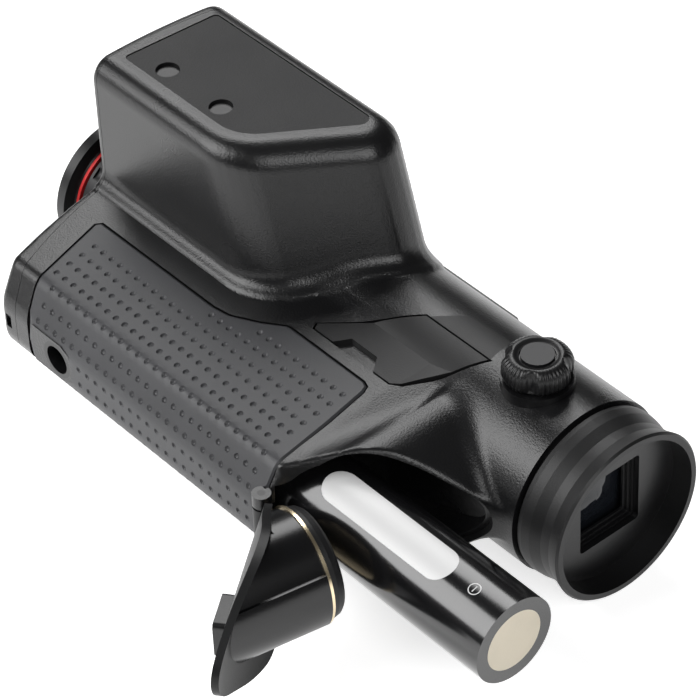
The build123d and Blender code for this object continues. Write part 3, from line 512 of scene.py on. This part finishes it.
def belly_bar(radius, n=128):
    """Long half-round bar with a slab behind it: what lies inside the curved underside."""
    arc = [(BELLY_R - radius * math.cos(t), radius * math.sin(t))
           for t in np.linspace(-math.pi / 2, math.pi / 2, n)]
    slab = [(BELLY_R + 80.0, radius), (BELLY_R + 80.0, -radius)]
    loop = [HINGE + INWARD * h + ACROSS * w for h, w in arc + slab]
    return sweep(loop, ALONG * -80.0, ALONG * 120.0)


# Turn in degrees above which an edge stays sharp.
MOULDED_EDGE, PAD_SHARP, KNOB_SHARP, STEP_SHARP = 38.0, 24.0, 40.0, 30.0


def split_sharp(obj, angle):
    """Smooth shading, but edges turning by more than angle degrees stay sharp."""
    obj.data.shade_smooth()
    obj.data.set_sharp_from_angle(angle=math.radians(angle))


def field_object(name, field, low, high, step):
    """Closed mesh of a field."""
    return solid_object(name, *polygonise(field, low, high, step))


def plate_outline(grow):
    """Outline of the plate let into the roof."""
    return grown(rounded_outline(PLATE, PLATE_ROUND, 8), grow)


def on_tripod(outline):
    """(x, z) outline about the tripod thread, placed in space."""
    return [(TRIPOD_X + x, z) for x, z in outline]


def tube_tools():
    """Bores of the tube, the battery tube and the battery bay."""
    return [rod_x(-150, -16, 0, 0, TUBE_R - WALL, 96), rod_x(EYE_BORE_X, 0, 0, 0, EYE_OUT, 96),
            rod_x(TUBE_X, BAY_X + 1.0, CELL_Y, 0, TUBE_OUT),
            rod_x(BAY_X, -10.0, CELL_Y, 0, BAY_R, 96)]


def door_tools():
    """Opening and rebate of the battery door, and the room for its hinge barrel and pin."""
    room = leaf_block(ROOM_SHRINK, *ROOM_DEPTHS)
    cut(room, brick(BAY_X + 2.0, 0, -80, ROOM_TOP, -40, 40), "INTERSECT")
    seat = leaf_block(0.0, *SEAT_DEPTHS)
    cut(seat, belly_bar(BELLY_R - LEAF_T - LEAF_GAP))
    return [room, seat, rod_z(HINGE_X, HINGE_Y, -BARREL_HALF, BARREL_HALF, BARREL_R),
            slope_block(BARREL_HALF, *BARREL_NOTCH),
            rod_z(HINGE_X, HINGE_Y, -PIN_HALF, PIN_HALF, PIN_R)]


def pad_tools():
    """Seat of the grip pad, with the tripod plate and thread in its floor, and the knob's seat."""
    pad = prism_z(grown(np.array(PAD_LINE), PAD_GAP), -40, 40)
    cut(pad, prism_x(grown(grip_outline, 1.0), -140, -30), "INTERSECT")
    cut(pad, prism_x(grown(grip_outline, -PAD_DEEP), -150, -20))
    return [pad, prism_y(on_tripod(PANEL), *PLATE_Y), rod_y(TRIPOD_X, 0, *THREAD_Y, TRIPOD_R),
            rod_z(KNOB_X, 0, KNOB_SEAT_Z, 30, KNOB_SEAT_R, 96)]


def flap_tools():
    """Shallow pockets of the port flap and its anchor, following the skin, and the socket."""
    skin = [rod_x(-150, 0, 0, 0, TUBE_R - FLAP_DEEP, 128),
            prism_x(grown(grip_outline, -FLAP_DEEP), -150, 0)]
    pockets = [prism_z(outline, 5, 30) for outline in (FLAP_POCKET, ANCHOR)]
    for pocket in pockets:
        for piece in skin:
            cut(pocket, piece, keep=True)
    for piece in skin:
        bpy.data.objects.remove(piece)
    return pockets + [brick(*SOCKET)]


def small_tools():
    """Holes of the buttons and case screws, and the seats of the roof plate and its screws."""
    holes = [rod_y(x, 0, 12, 30, BUTTON_HOLE_R) for x in BUTTONS]
    holes += [rod_z(x, SCREW_Y, REST_Z - 1, REST_Z + SCREW_DEEP, SCREW_R) for x in SCREWS]
    holes.append(prism_z(plate_outline(PLATE_GAP), HUMP_TOP - PLATE_DEEP, HUMP_TOP + 3))
    return holes + [rod_z(x, y, PLATE_SCREW_Z, 46, PLATE_SCREW_R) for x, y in PLATE_SCREWS]


def make_housing():
    """The moulded body with every seat and opening in it."""
    body = field_object("housing", housing_field, *HOUSING_BOX, HOUSING_GRID)
    cut(body, prism_z(circle(SEAM_X, SEAM_Y, SEAM_R, 360), -60, 60), "INTERSECT")
    cut(body, brick(-160, TUBE_END, -80, 60, -60, 60), "INTERSECT")
    for side in HINGE_LUGS:
        cut(body, rod_z(HINGE_X, HINGE_Y, side, side + LUG_LENGTH, LUG_R), "UNION")
    for tool in tube_tools() + door_tools() + pad_tools() + flap_tools() + small_tools():
        cut(body, tool)
    return body


housing = make_housing()
split_sharp(housing, MOULDED_EDGE)
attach(housing, "body")
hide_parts("left_shell", "right_shell", "rangefinder_cover")


def make_bezel():
    """Front bezel with the seats of the lens and of the range finder windows."""
    bezel = field_object("bezel", bezel_field, *BEZEL_BOX, BEZEL_GRID)
    cut(bezel, prism_z(circle(SEAM_X, SEAM_Y, SEAM_R + SEAM_GAP, 360), -60, 60))
    for tool in (rod_x(-160, -100, LENS_Y, 0, LENS_R, 96),
                 rod_x(-160, -100, RECEIVER_Y, WINDOW_Z, RECEIVER_R),
                 rod_x(-160, -100, EMITTER_Y, WINDOW_Z, EMITTER_R),
                 brick(*LANYARD_X, -60, -48.0, -LANYARD_HALF, LANYARD_HALF)):
        cut(bezel, tool)
    return bezel


bezel = make_bezel()
split_sharp(bezel, MOULDED_EDGE)
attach(bezel, "body")
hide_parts("front_bezel")


# ---------------------------------------------------------------- grip pad
# Half of the grip's section from its lowest line up: points, arc lengths, tangents and normals.
GRIP_MIDDLE_Y = -30.0
SECTION = rounded_outline(GRIP_SECTION + [(y, -z) for y, z in reversed(GRIP_SECTION)],
                          GRIP_ROUND + GRIP_ROUND[::-1], 24)
HALF = np.vstack([[GRIP_SECTION[-1][0], 0.0], SECTION[:len(SECTION) // 2][::-1]])
HALF_S = np.concatenate([[0.0], np.cumsum(np.linalg.norm(np.diff(HALF, axis=0), axis=1))])
HALF_T = np.gradient(HALF, HALF_S, axis=0)
HALF_N = np.stack([-HALF_T[:, 1], HALF_T[:, 0]], 1) / np.linalg.norm(HALF_T, axis=1, keepdims=True)
HALF_N *= np.sign((HALF_N * (HALF - [GRIP_MIDDLE_Y, 0.0])).sum(1, keepdims=True))
HALF_N[0] = (-1.0, 0.0)
PAD_EDGE, PAD_EDGE_DROP = 0.45, 0.3
PAD_UNDER = -1.0
PAD_TOE_X = -119.6
EDGE_STEP = 0.9
MESH_X, MESH_STEP_X, MESH_STEP_S = (-124.0, -46.0), 1.37, 0.9
TOP_MARGIN, UNDER_MARGIN = 0.8, 1.0
DIMPLE_R = 0.68
DIMPLE_DEPTH = 0.5
# Share of the radius, share of the depth and number of points of each ring in a dimple.
DIMPLE_RINGS = ((1.0, 0.0, 12), (0.66, 0.62, 8), (0.0, 1.0, 1))
DIMPLE_MARGIN, PANEL_MARGIN, DIMPLE_ROOM = 1.9, 1.2, 0.35
FIRST_COLUMN_X, COLUMN_PITCH, COLUMNS = -122.2, 2.74, 30
DIMPLE_ROWS = [2.0, 5.9, 9.2, 13.2, 16.4, 19.7, 23.0, 26.3, 29.7, 33.0, 36.3]


def on_grip(x, s, lift):
    """Point of the grip surface at x and arc length s from its lowest line, raised by lift."""
    a = np.abs(s)
    side = np.where(np.asarray(s) < 0, -1.0, 1.0)
    y = np.interp(a, HALF_S, HALF[:, 0]) + lift * np.interp(a, HALF_S, HALF_N[:, 0])
    z = np.interp(a, HALF_S, HALF[:, 1]) + lift * np.interp(a, HALF_S, HALF_N[:, 1])
    return np.stack([x + 0 * y, y, side * z], 1)


def arc_at(y):
    """Arc length on the grip section at height y, which is nudged so that it always rises."""
    return float(np.interp(y, HALF[:, 0] + 1e-6 * HALF_S, HALF_S))


def pad_boundary():
    """Edge of the pad as closely spaced (x, arc length) points."""
    low_y = GRIP_SECTION[-1][0]
    corners = PAD_LINE[:12]
    half = [(PAD_TOE_X, low_y), PAD_LINE[-1]] + corners + [(corners[-1][0], low_y)]
    pts = []
    for (x0, y0), (x1, y1) in zip(half, half[1:]):
        n = max(1, int(math.hypot(x1 - x0, y1 - y0) / EDGE_STEP))
        for k in range(n):
            t = k / n
            pts.append((x0 + (x1 - x0) * t, arc_at(y0 + (y1 - y0) * t)))
    pts.append((half[-1][0], 0.0))
    pts[0] = (half[0][0], 0.0)
    other = [(x, -v) for x, v in reversed(pts[1:-1])]
    return np.array(pts + other)


def triangulate(points, loop_length):
    """Triangles of points inside the loop that comes first in them, as indices into points."""
    loop = list(range(loop_length))
    got = delaunay_2d_cdt([Vector(p) for p in points], [], [loop], 1, 1e-7)
    source = [min(o) if len(o) else -1 for o in got[3]]
    faces = [tuple(source[i] for i in f) for f in got[2] if min(source[i] for i in f) >= 0]
    middle = points[np.array(faces)].mean(1)
    inside = outline_distance(middle[:, 0], middle[:, 1], points[:loop_length]) < 0
    return [f for f, ok in zip(faces, inside) if ok]


def dimple_centres(edge):
    """(x, arc length) of every dimple that the pad and the tripod plate leave room for."""
    centres = []
    for row in DIMPLE_ROWS:
        for k in range(COLUMNS):
            x = FIRST_COLUMN_X + COLUMN_PITCH * (k + (1 if row < 5.0 else 0))
            centres += [(x, row), (x, -row)]
    centres = np.array(centres)
    x, s = centres.T
    room = outline_distance(x, s, edge) < -DIMPLE_MARGIN
    room &= outline_distance(x, s, np.array(on_tripod(PANEL))) > PANEL_MARGIN
    return centres[room]


def pad_grid(edge):
    """Even (x, arc length) points over the pad, clear of its edge."""
    top = edge[:, 1].max()
    x, s = np.meshgrid(np.arange(*MESH_X, MESH_STEP_X), np.arange(-top, top, MESH_STEP_S),
                       indexing="ij")
    grid = np.stack([x.ravel(), s.ravel()], 1)
    return grid[outline_distance(grid[:, 0], grid[:, 1], edge) < -TOP_MARGIN]


def make_pad():
    """Rubber pad with rows of small round dimples."""
    edge = pad_boundary()
    n = len(edge)
    inner = grown(edge, -PAD_EDGE)
    centres = dimple_centres(edge)
    points = [edge, inner]
    lifts = [np.full(n, PAD_PROUD - PAD_EDGE_DROP), np.full(n, PAD_PROUD)]
    for share, depth, count in DIMPLE_RINGS:
        for k in range(count):
            a = 2 * math.pi * (k + 0.5) / count
            points.append(centres + share * DIMPLE_R * np.array([math.cos(a), math.sin(a)]))
            lifts.append(np.full(len(centres), PAD_PROUD - depth * DIMPLE_DEPTH))
    grid = pad_grid(edge)
    near = np.sqrt(((grid[:, None] - centres[None]) ** 2).sum(2)).min(1)
    grid = grid[near > DIMPLE_R + DIMPLE_ROOM]
    points = np.concatenate(points + [grid])
    lifts = np.concatenate(lifts + [np.full(len(grid), PAD_PROUD)])
    faces = triangulate(points, n)
    upper = on_grip(points[:, 0], points[:, 1], lifts)

    inside = outline_distance(grid[:, 0], grid[:, 1], edge) < -UNDER_MARGIN
    low_points = np.concatenate([edge, grid[inside]])
    low_faces = triangulate(low_points, n)
    lower = on_grip(low_points[:, 0], low_points[:, 1], PAD_UNDER)
    base = len(upper)
    rim = [(i, (i + 1) % n, base + (i + 1) % n, base + i) for i in range(n)]
    under = [tuple(base + i for i in reversed(f)) for f in low_faces]
    pad = solid_object("grip_cover", np.concatenate([upper, lower]), faces + under + rim)
    cut(pad, prism_y(on_tripod(PANEL), PLATE_Y[0], THREAD_Y[1]))
    cut(pad, rod_z(HINGE_X, HINGE_Y, -PIN_HALF, PIN_HALF, BARREL_R))
    return pad


pad = make_pad()
split_sharp(pad, PAD_SHARP)
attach(pad, "body")
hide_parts("grip_pad")


# ---------------------------------------------------------------- side knob
SCALLOPS, SCALLOP_TURN, SCALLOP_DEEP = 4, 0.6, 1.25
TEETH, TOOTH_DEEP = 48, 0.26
KNOB_SIDES = 288
KNOB_SHAFT_R = 2.0
# Profile of the cap: height, radius, and share of the scallops and teeth cut there.
KNOB_RINGS = [(20.4, 6.2, 0.2), (20.5, 6.6, 0.6), (20.9, 6.95, 1.0), (21.6, 7.1, 1.0),
              (23.4, 7.05, 1.0), (24.2, 6.75, 1.0), (24.8, 6.25, 0.8), (25.2, 5.7, 0.45),
              (25.4, 5.1, 0.15), (25.4, 4.6, 0.0), (25.2, 4.2, 0.0), (25.05, 3.9, 0.0),
              (25.0, 3.6, 0.0), (24.6, 3.5, 0.0)]


def knob_cut(a):
    """How far the knob's rim is cut back at an angle: scallops, and fine teeth between."""
    lobe = max(0.0, math.cos(SCALLOPS * (a - SCALLOP_TURN))) ** 3
    teeth = 0.5 + 0.5 * math.cos(TEETH * a)
    return SCALLOP_DEEP * lobe + TOOTH_DEEP * teeth * (1 - lobe)


def make_knob():
    """Knob cap with scallops, teeth and a recess for its disc."""
    verts = []
    for z, r, grip in KNOB_RINGS:
        for k in range(KNOB_SIDES):
            a = 2 * math.pi * k / KNOB_SIDES
            rr = r - knob_cut(a) * grip
            verts.append((rr * math.cos(a) + KNOB_X, rr * math.sin(a), z))
    last = (len(KNOB_RINGS) - 1) * KNOB_SIDES
    faces = []
    for low in range(0, last, KNOB_SIDES):
        high = low + KNOB_SIDES
        for k in range(KNOB_SIDES):
            n = (k + 1) % KNOB_SIDES
            faces.append((low + k, low + n, high + n, high + k))
    faces.append(tuple(range(KNOB_SIDES))[::-1])
    faces.append(tuple(range(last, last + KNOB_SIDES)))
    cap = solid_object("knob_grip", verts, faces)
    cut(cap, rod_z(KNOB_X, 0, 19.0, 21.2, KNOB_SHAFT_R))
    return cap


knob = make_knob()
split_sharp(knob, KNOB_SHARP)
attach(knob, "knob")
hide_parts("knob_cap")


# ---------------------------------------------------------------- eyepiece window
STEP_THICK = 0.55
STEP_OUTER = (8.6, 9.0)
# Front face and opening's half sizes of each frame.
STEPS = ((-6.9, 7.1, 7.7), (-7.5, 6.5, 7.1), (-8.1, 5.9, 6.5))


def window_outline(half_y, half_z, radius):
    """Rectangle across the eyepiece with rounded corners."""
    return rounded_outline([(-half_y, -half_z), (half_y, -half_z), (half_y, half_z),
                            (-half_y, half_z)], [radius] * 4)


def frame_plate(name, x, half_y, half_z):
    """Rectangular frame across the eyepiece."""
    plate = prism_x(window_outline(*STEP_OUTER, 1.0), x, x + STEP_THICK)
    plate.name = name
    cut(plate, prism_x(window_outline(half_y, half_z, 0.5), x - 1, x + STEP_THICK + 1))
    return plate


frames = []
for k, (x, half_y, half_z) in enumerate(STEPS):
    step = frame_plate("window_step_%d" % k, x, half_y, half_z)
    split_sharp(step, STEP_SHARP)
    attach(step, "body")
    frames.append(step)


# ---------------------------------------------------------------- mark on the cell
MARK_X = 0.9
MARK_R, MARK_LINE = 1.3, 0.2
BAR_HALF, BAR_LINE, BAR_CORE = 0.7, 0.12, (0.01, 0.05)
CELL_R = 9.25
PRINT_R = (9.22, 9.27)
LABEL_TURN = math.atan2(0.968, -0.25)


def on_cell(points, r):
    """(x, arc) points laid on the cell's side, about the middle of its label."""
    turns = [(x, LABEL_TURN + v / CELL_R) for x, v in points]
    return [(x, CELL_Y + r * math.cos(a), r * math.sin(a)) for x, a in turns]


def strip_on_cell(name, loop_out, loop_in):
    """Thin printed ring between two loops on the cell."""
    n = len(loop_out)
    verts = [p for r in PRINT_R for loop in (loop_out, loop_in) for p in on_cell(loop, r)]
    faces = []
    for i in range(n):
        j = (i + 1) % n
        faces += [(i, j, n + j, n + i), (2 * n + i, 3 * n + i, 3 * n + j, 2 * n + j),
                  (i, 2 * n + i, 2 * n + j, j), (n + i, n + j, 3 * n + j, 3 * n + i)]
    return solid_object(name, verts, faces)


def bar_loop(half_x, half_v):
    """Rectangle about the middle of the mark."""
    return [(MARK_X - half_x, -half_v), (MARK_X + half_x, -half_v),
            (MARK_X + half_x, half_v), (MARK_X - half_x, half_v)]


ring_mark = strip_on_cell("polarity_ring", circle(MARK_X, 0.0, MARK_R, 40),
                          circle(MARK_X, 0.0, MARK_R - MARK_LINE, 40))
bar_mark = strip_on_cell("polarity_bar", bar_loop(BAR_LINE, BAR_HALF), bar_loop(*BAR_CORE))
for mark in (ring_mark, bar_mark):
    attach(mark, "cell")


# ---------------------------------------------------------------- materials
GRAIN_HEIGHT = 0.0001
TONE_SCALE, TONE_BAND = 60.0, (0.3, 0.7)
ROUGH_SPREAD = 0.05
COAT_ROUGHNESS = 0.15


def noise_node(tree, scale):
    """Noise texture laid out in the object's own space."""
    coords = tree.nodes.new("ShaderNodeTexCoord")
    noise = tree.nodes.new("ShaderNodeTexNoise")
    noise.inputs["Scale"].default_value = scale
    tree.links.new(coords.outputs["Object"], noise.inputs["Vector"])
    return noise


def noise_material(name, colour, roughness, bump, scale,
                   vary=0.15, metallic=0.0, coat=0.0, gloss=0.5):
    """Moulded or turned finish: fine grain in the surface, and slow changes of tone and gloss."""
    mat = bpy.data.materials.new(name)
    mat.use_nodes = True
    tree = mat.node_tree
    shader = tree.nodes["Principled BSDF"]
    fine = noise_node(tree, scale)
    fine.inputs["Detail"].default_value = 3.0
    slow = noise_node(tree, TONE_SCALE)
    tone = tree.nodes.new("ShaderNodeValToRGB")
    shades = ([c * (1 - vary) for c in colour], [min(1, c * (1 + vary)) for c in colour])
    for stop, position, shade in zip(tone.color_ramp.elements, TONE_BAND, shades):
        stop.position = position
        stop.color = shade + [1]
    tree.links.new(slow.outputs["Fac"], tone.inputs["Fac"])
    tree.links.new(tone.outputs["Color"], shader.inputs["Base Color"])
    rough = tree.nodes.new("ShaderNodeMapRange")
    rough.inputs["To Min"].default_value = roughness - ROUGH_SPREAD
    rough.inputs["To Max"].default_value = roughness + ROUGH_SPREAD
    tree.links.new(slow.outputs["Fac"], rough.inputs["Value"])
    tree.links.new(rough.outputs["Result"], shader.inputs["Roughness"])
    lift = tree.nodes.new("ShaderNodeBump")
    lift.inputs["Strength"].default_value = bump
    lift.inputs["Distance"].default_value = GRAIN_HEIGHT
    tree.links.new(fine.outputs["Fac"], lift.inputs["Height"])
    tree.links.new(lift.outputs["Normal"], shader.inputs["Normal"])
    shader.inputs["Metallic"].default_value = metallic
    shader.inputs["Specular IOR Level"].default_value = gloss
    shader.inputs["Coat Weight"].default_value = coat
    shader.inputs["Coat Roughness"].default_value = COAT_ROUGHNESS
    return mat


# Name, colour, roughness, grain and its scale, then what differs from a plain dielectric.
PALETTE = [
    ("shell_black", (0.006, 0.006, 0.0065), 0.29, 0.6, 2600, {}),
    ("pad_grey", (0.034, 0.0345, 0.038), 0.45, 0.3, 3000, {}),
    ("black_gloss", (0.004, 0.004, 0.0045), 0.15, 0.05, 500, {}),
    ("dark_plastic", (0.006, 0.006, 0.0065), 0.34, 0.2, 2500, {"gloss": 0.45}),
    ("rubber_soft", (0.0085, 0.0085, 0.009), 0.46, 0.25, 3000, {"gloss": 0.4}),
    ("accent_red", (0.62, 0.03, 0.03), 0.35, 0.05, 800, {"metallic": 0.3}),
    ("black_metal", (0.006, 0.006, 0.0065), 0.35, 0.1, 3000, {"metallic": 0.2}),
    ("dark_metal", (0.012, 0.012, 0.013), 0.4, 0.1, 3000, {"metallic": 0.2}),
    ("steel", (0.55, 0.55, 0.57), 0.3, 0.05, 1500, {"metallic": 1.0}),
    ("brass", (0.83, 0.70, 0.48), 0.25, 0.05, 1500, {"metallic": 1.0}),
    ("lens_glass", (0.012, 0.014, 0.018), 0.05, 0.0, 100, {"vary": 0.05}),
    ("ir_glass", (0.02, 0.012, 0.03), 0.05, 0.0, 100, {"vary": 0.05}),
    ("board_green", (0.01, 0.08, 0.03), 0.4, 0.1, 500, {}),
    ("cell_wrap", (0.006, 0.006, 0.0065), 0.16, 0.02, 300, {"coat": 0.5}),
    ("cell_cream", (0.80, 0.72, 0.57), 0.38, 0.25, 900, {"vary": 0.08}),
    ("label_white", (0.66, 0.66, 0.66), 0.35, 0.02, 800, {"vary": 0.01}),
    ("plate_black", (0.006, 0.006, 0.0065), 0.5, 0.6, 2600, {"gloss": 0.32}),
    ("leaf_black", (0.005, 0.005, 0.0055), 0.42, 0.2, 2500, {"gloss": 0.3}),
    ("barrel_black", (0.005, 0.005, 0.0055), 0.22, 0.1, 2500, {}),
]
MATERIALS = {row[0]: noise_material(*row[:5], **row[5]) for row in PALETTE}

FINISH = {housing: "shell_black", bezel: "shell_black", pad: "pad_grey", knob: "dark_plastic",
          ring_mark: "label_white", bar_mark: "label_white"}
FINISH.update({step: "dark_plastic" for step in frames})
for piece, finish in FINISH.items():
    piece.data.materials.clear()
    piece.data.materials.append(MATERIALS[finish])

OWN_FINISH = {"rangefinder_plate": "plate_black", "door_hinge_pin": "black_metal",
              "door_leaf": "leaf_black", "door_barrel": "barrel_black"}
slots = {s["node"]: s["material_slot"] for s in frame["record"]["subparts"]}
for name, obj in nodes.items():
    obj.data.materials.clear()
    obj.data.materials.append(MATERIALS[OWN_FINISH.get(name, slots[name])])

# ---------------------------------------------------------------- floor, lights and camera
VIEW_AZIMUTH = math.radians(50.84)
VIEW_ELEVATION = math.radians(41.19)
VIEW_ROLL = math.radians(-2.70)
VIEW_OFFSET = Vector((52.52, -31.74, -696.2)) * MM
SENSOR = 36.0
LENS = 189.6
FLOOR_SIZE, FLOOR_GLOW = 6.0, 0.7
WORLD_LIGHT = 0.07
CENTRE = (-0.07, -0.02, 0.0)
# Name, place, size and power of each lamp.
LAMPS = (("key", (-0.48, -0.66, 0.56), 0.65, 8.0), ("rear", (-0.62, 0.34, 0.72), 0.5, 4.2),
         ("fill", (0.62, -0.28, 0.60), 0.5, 3.4))


def add_camera():
    """Camera at the photograph's viewing angle."""
    back = Vector((math.sin(VIEW_AZIMUTH) * math.cos(VIEW_ELEVATION),
                   -math.cos(VIEW_AZIMUTH) * math.cos(VIEW_ELEVATION), math.sin(VIEW_ELEVATION)))
    level = Vector((math.cos(VIEW_AZIMUTH), math.sin(VIEW_AZIMUTH), 0.0))
    upright = back.cross(level)
    right = math.cos(VIEW_ROLL) * level + math.sin(VIEW_ROLL) * upright
    top = math.cos(VIEW_ROLL) * upright - math.sin(VIEW_ROLL) * level
    turn = Matrix((right, top, back))
    data = bpy.data.cameras.new("camera")
    data.lens = LENS
    data.sensor_width = SENSOR
    data.clip_start = 0.01
    camera = bpy.data.objects.new("camera", data)
    place = -(turn.transposed() @ VIEW_OFFSET)
    camera.matrix_world = Matrix.Translation(place) @ turn.transposed().to_4x4()
    bpy.context.scene.collection.objects.link(camera)
    bpy.context.scene.camera = camera


def add_area(name, place, size, power):
    """Soft square lamp at place, facing the object."""
    data = bpy.data.lights.new(name, "AREA")
    data.size = size
    data.energy = power
    lamp = bpy.data.objects.new(name, data)
    lamp.location = place
    lamp.rotation_euler = (Vector(CENTRE) - Vector(place)).to_track_quat("-Z", "Y").to_euler()
    bpy.context.scene.collection.objects.link(lamp)


def math_node(tree, operation, first, second):
    """Output of a math node fed by an output, and by a second one or a number."""
    node = tree.nodes.new("ShaderNodeMath")
    node.operation = operation
    tree.links.new(first, node.inputs[0])
    if isinstance(second, float):
        node.inputs[1].default_value = second
    else:
        tree.links.new(second, node.inputs[1])
    return node.outputs[0]


def floor_material():
    """Pale matt paper that glows where it is seen, but doesn't light the object."""
    mat = bpy.data.materials.new("floor")
    mat.use_nodes = True
    tree = mat.node_tree
    shader = tree.nodes["Principled BSDF"]
    shader.inputs["Base Color"].default_value = (0.9, 0.9, 0.9, 1)
    shader.inputs["Roughness"].default_value = 0.9
    shader.inputs["Specular IOR Level"].default_value = 0.1
    shader.inputs["Emission Color"].default_value = (1, 1, 1, 1)
    rays = tree.nodes.new("ShaderNodeLightPath").outputs
    seen = math_node(tree, "MAXIMUM", rays["Is Camera Ray"], rays["Is Glossy Ray"])
    seen = math_node(tree, "MAXIMUM", seen, rays["Is Transmission Ray"])
    glow = math_node(tree, "MULTIPLY", seen, FLOOR_GLOW)
    tree.links.new(glow, shader.inputs["Emission Strength"])
    return mat


def add_stage():
    """Plain pale floor under the object, and an even pale world."""
    bpy.ops.mesh.primitive_plane_add(size=FLOOR_SIZE, location=(*CENTRE[:2], cad_bounds[0][2]))
    floor = bpy.context.object
    floor.name = "floor"
    floor.data.materials.append(floor_material())
    world = bpy.data.worlds.new("world")
    world.use_nodes = True
    sky = world.node_tree.nodes["Background"]
    sky.inputs["Color"].default_value = (1, 1, 1, 1)
    sky.inputs["Strength"].default_value = WORLD_LIGHT
    bpy.context.scene.world = world


add_camera()
add_stage()
for lamp_row in LAMPS:
    add_area(*lamp_row)
bpy.context.scene.view_settings.view_transform = "Standard"
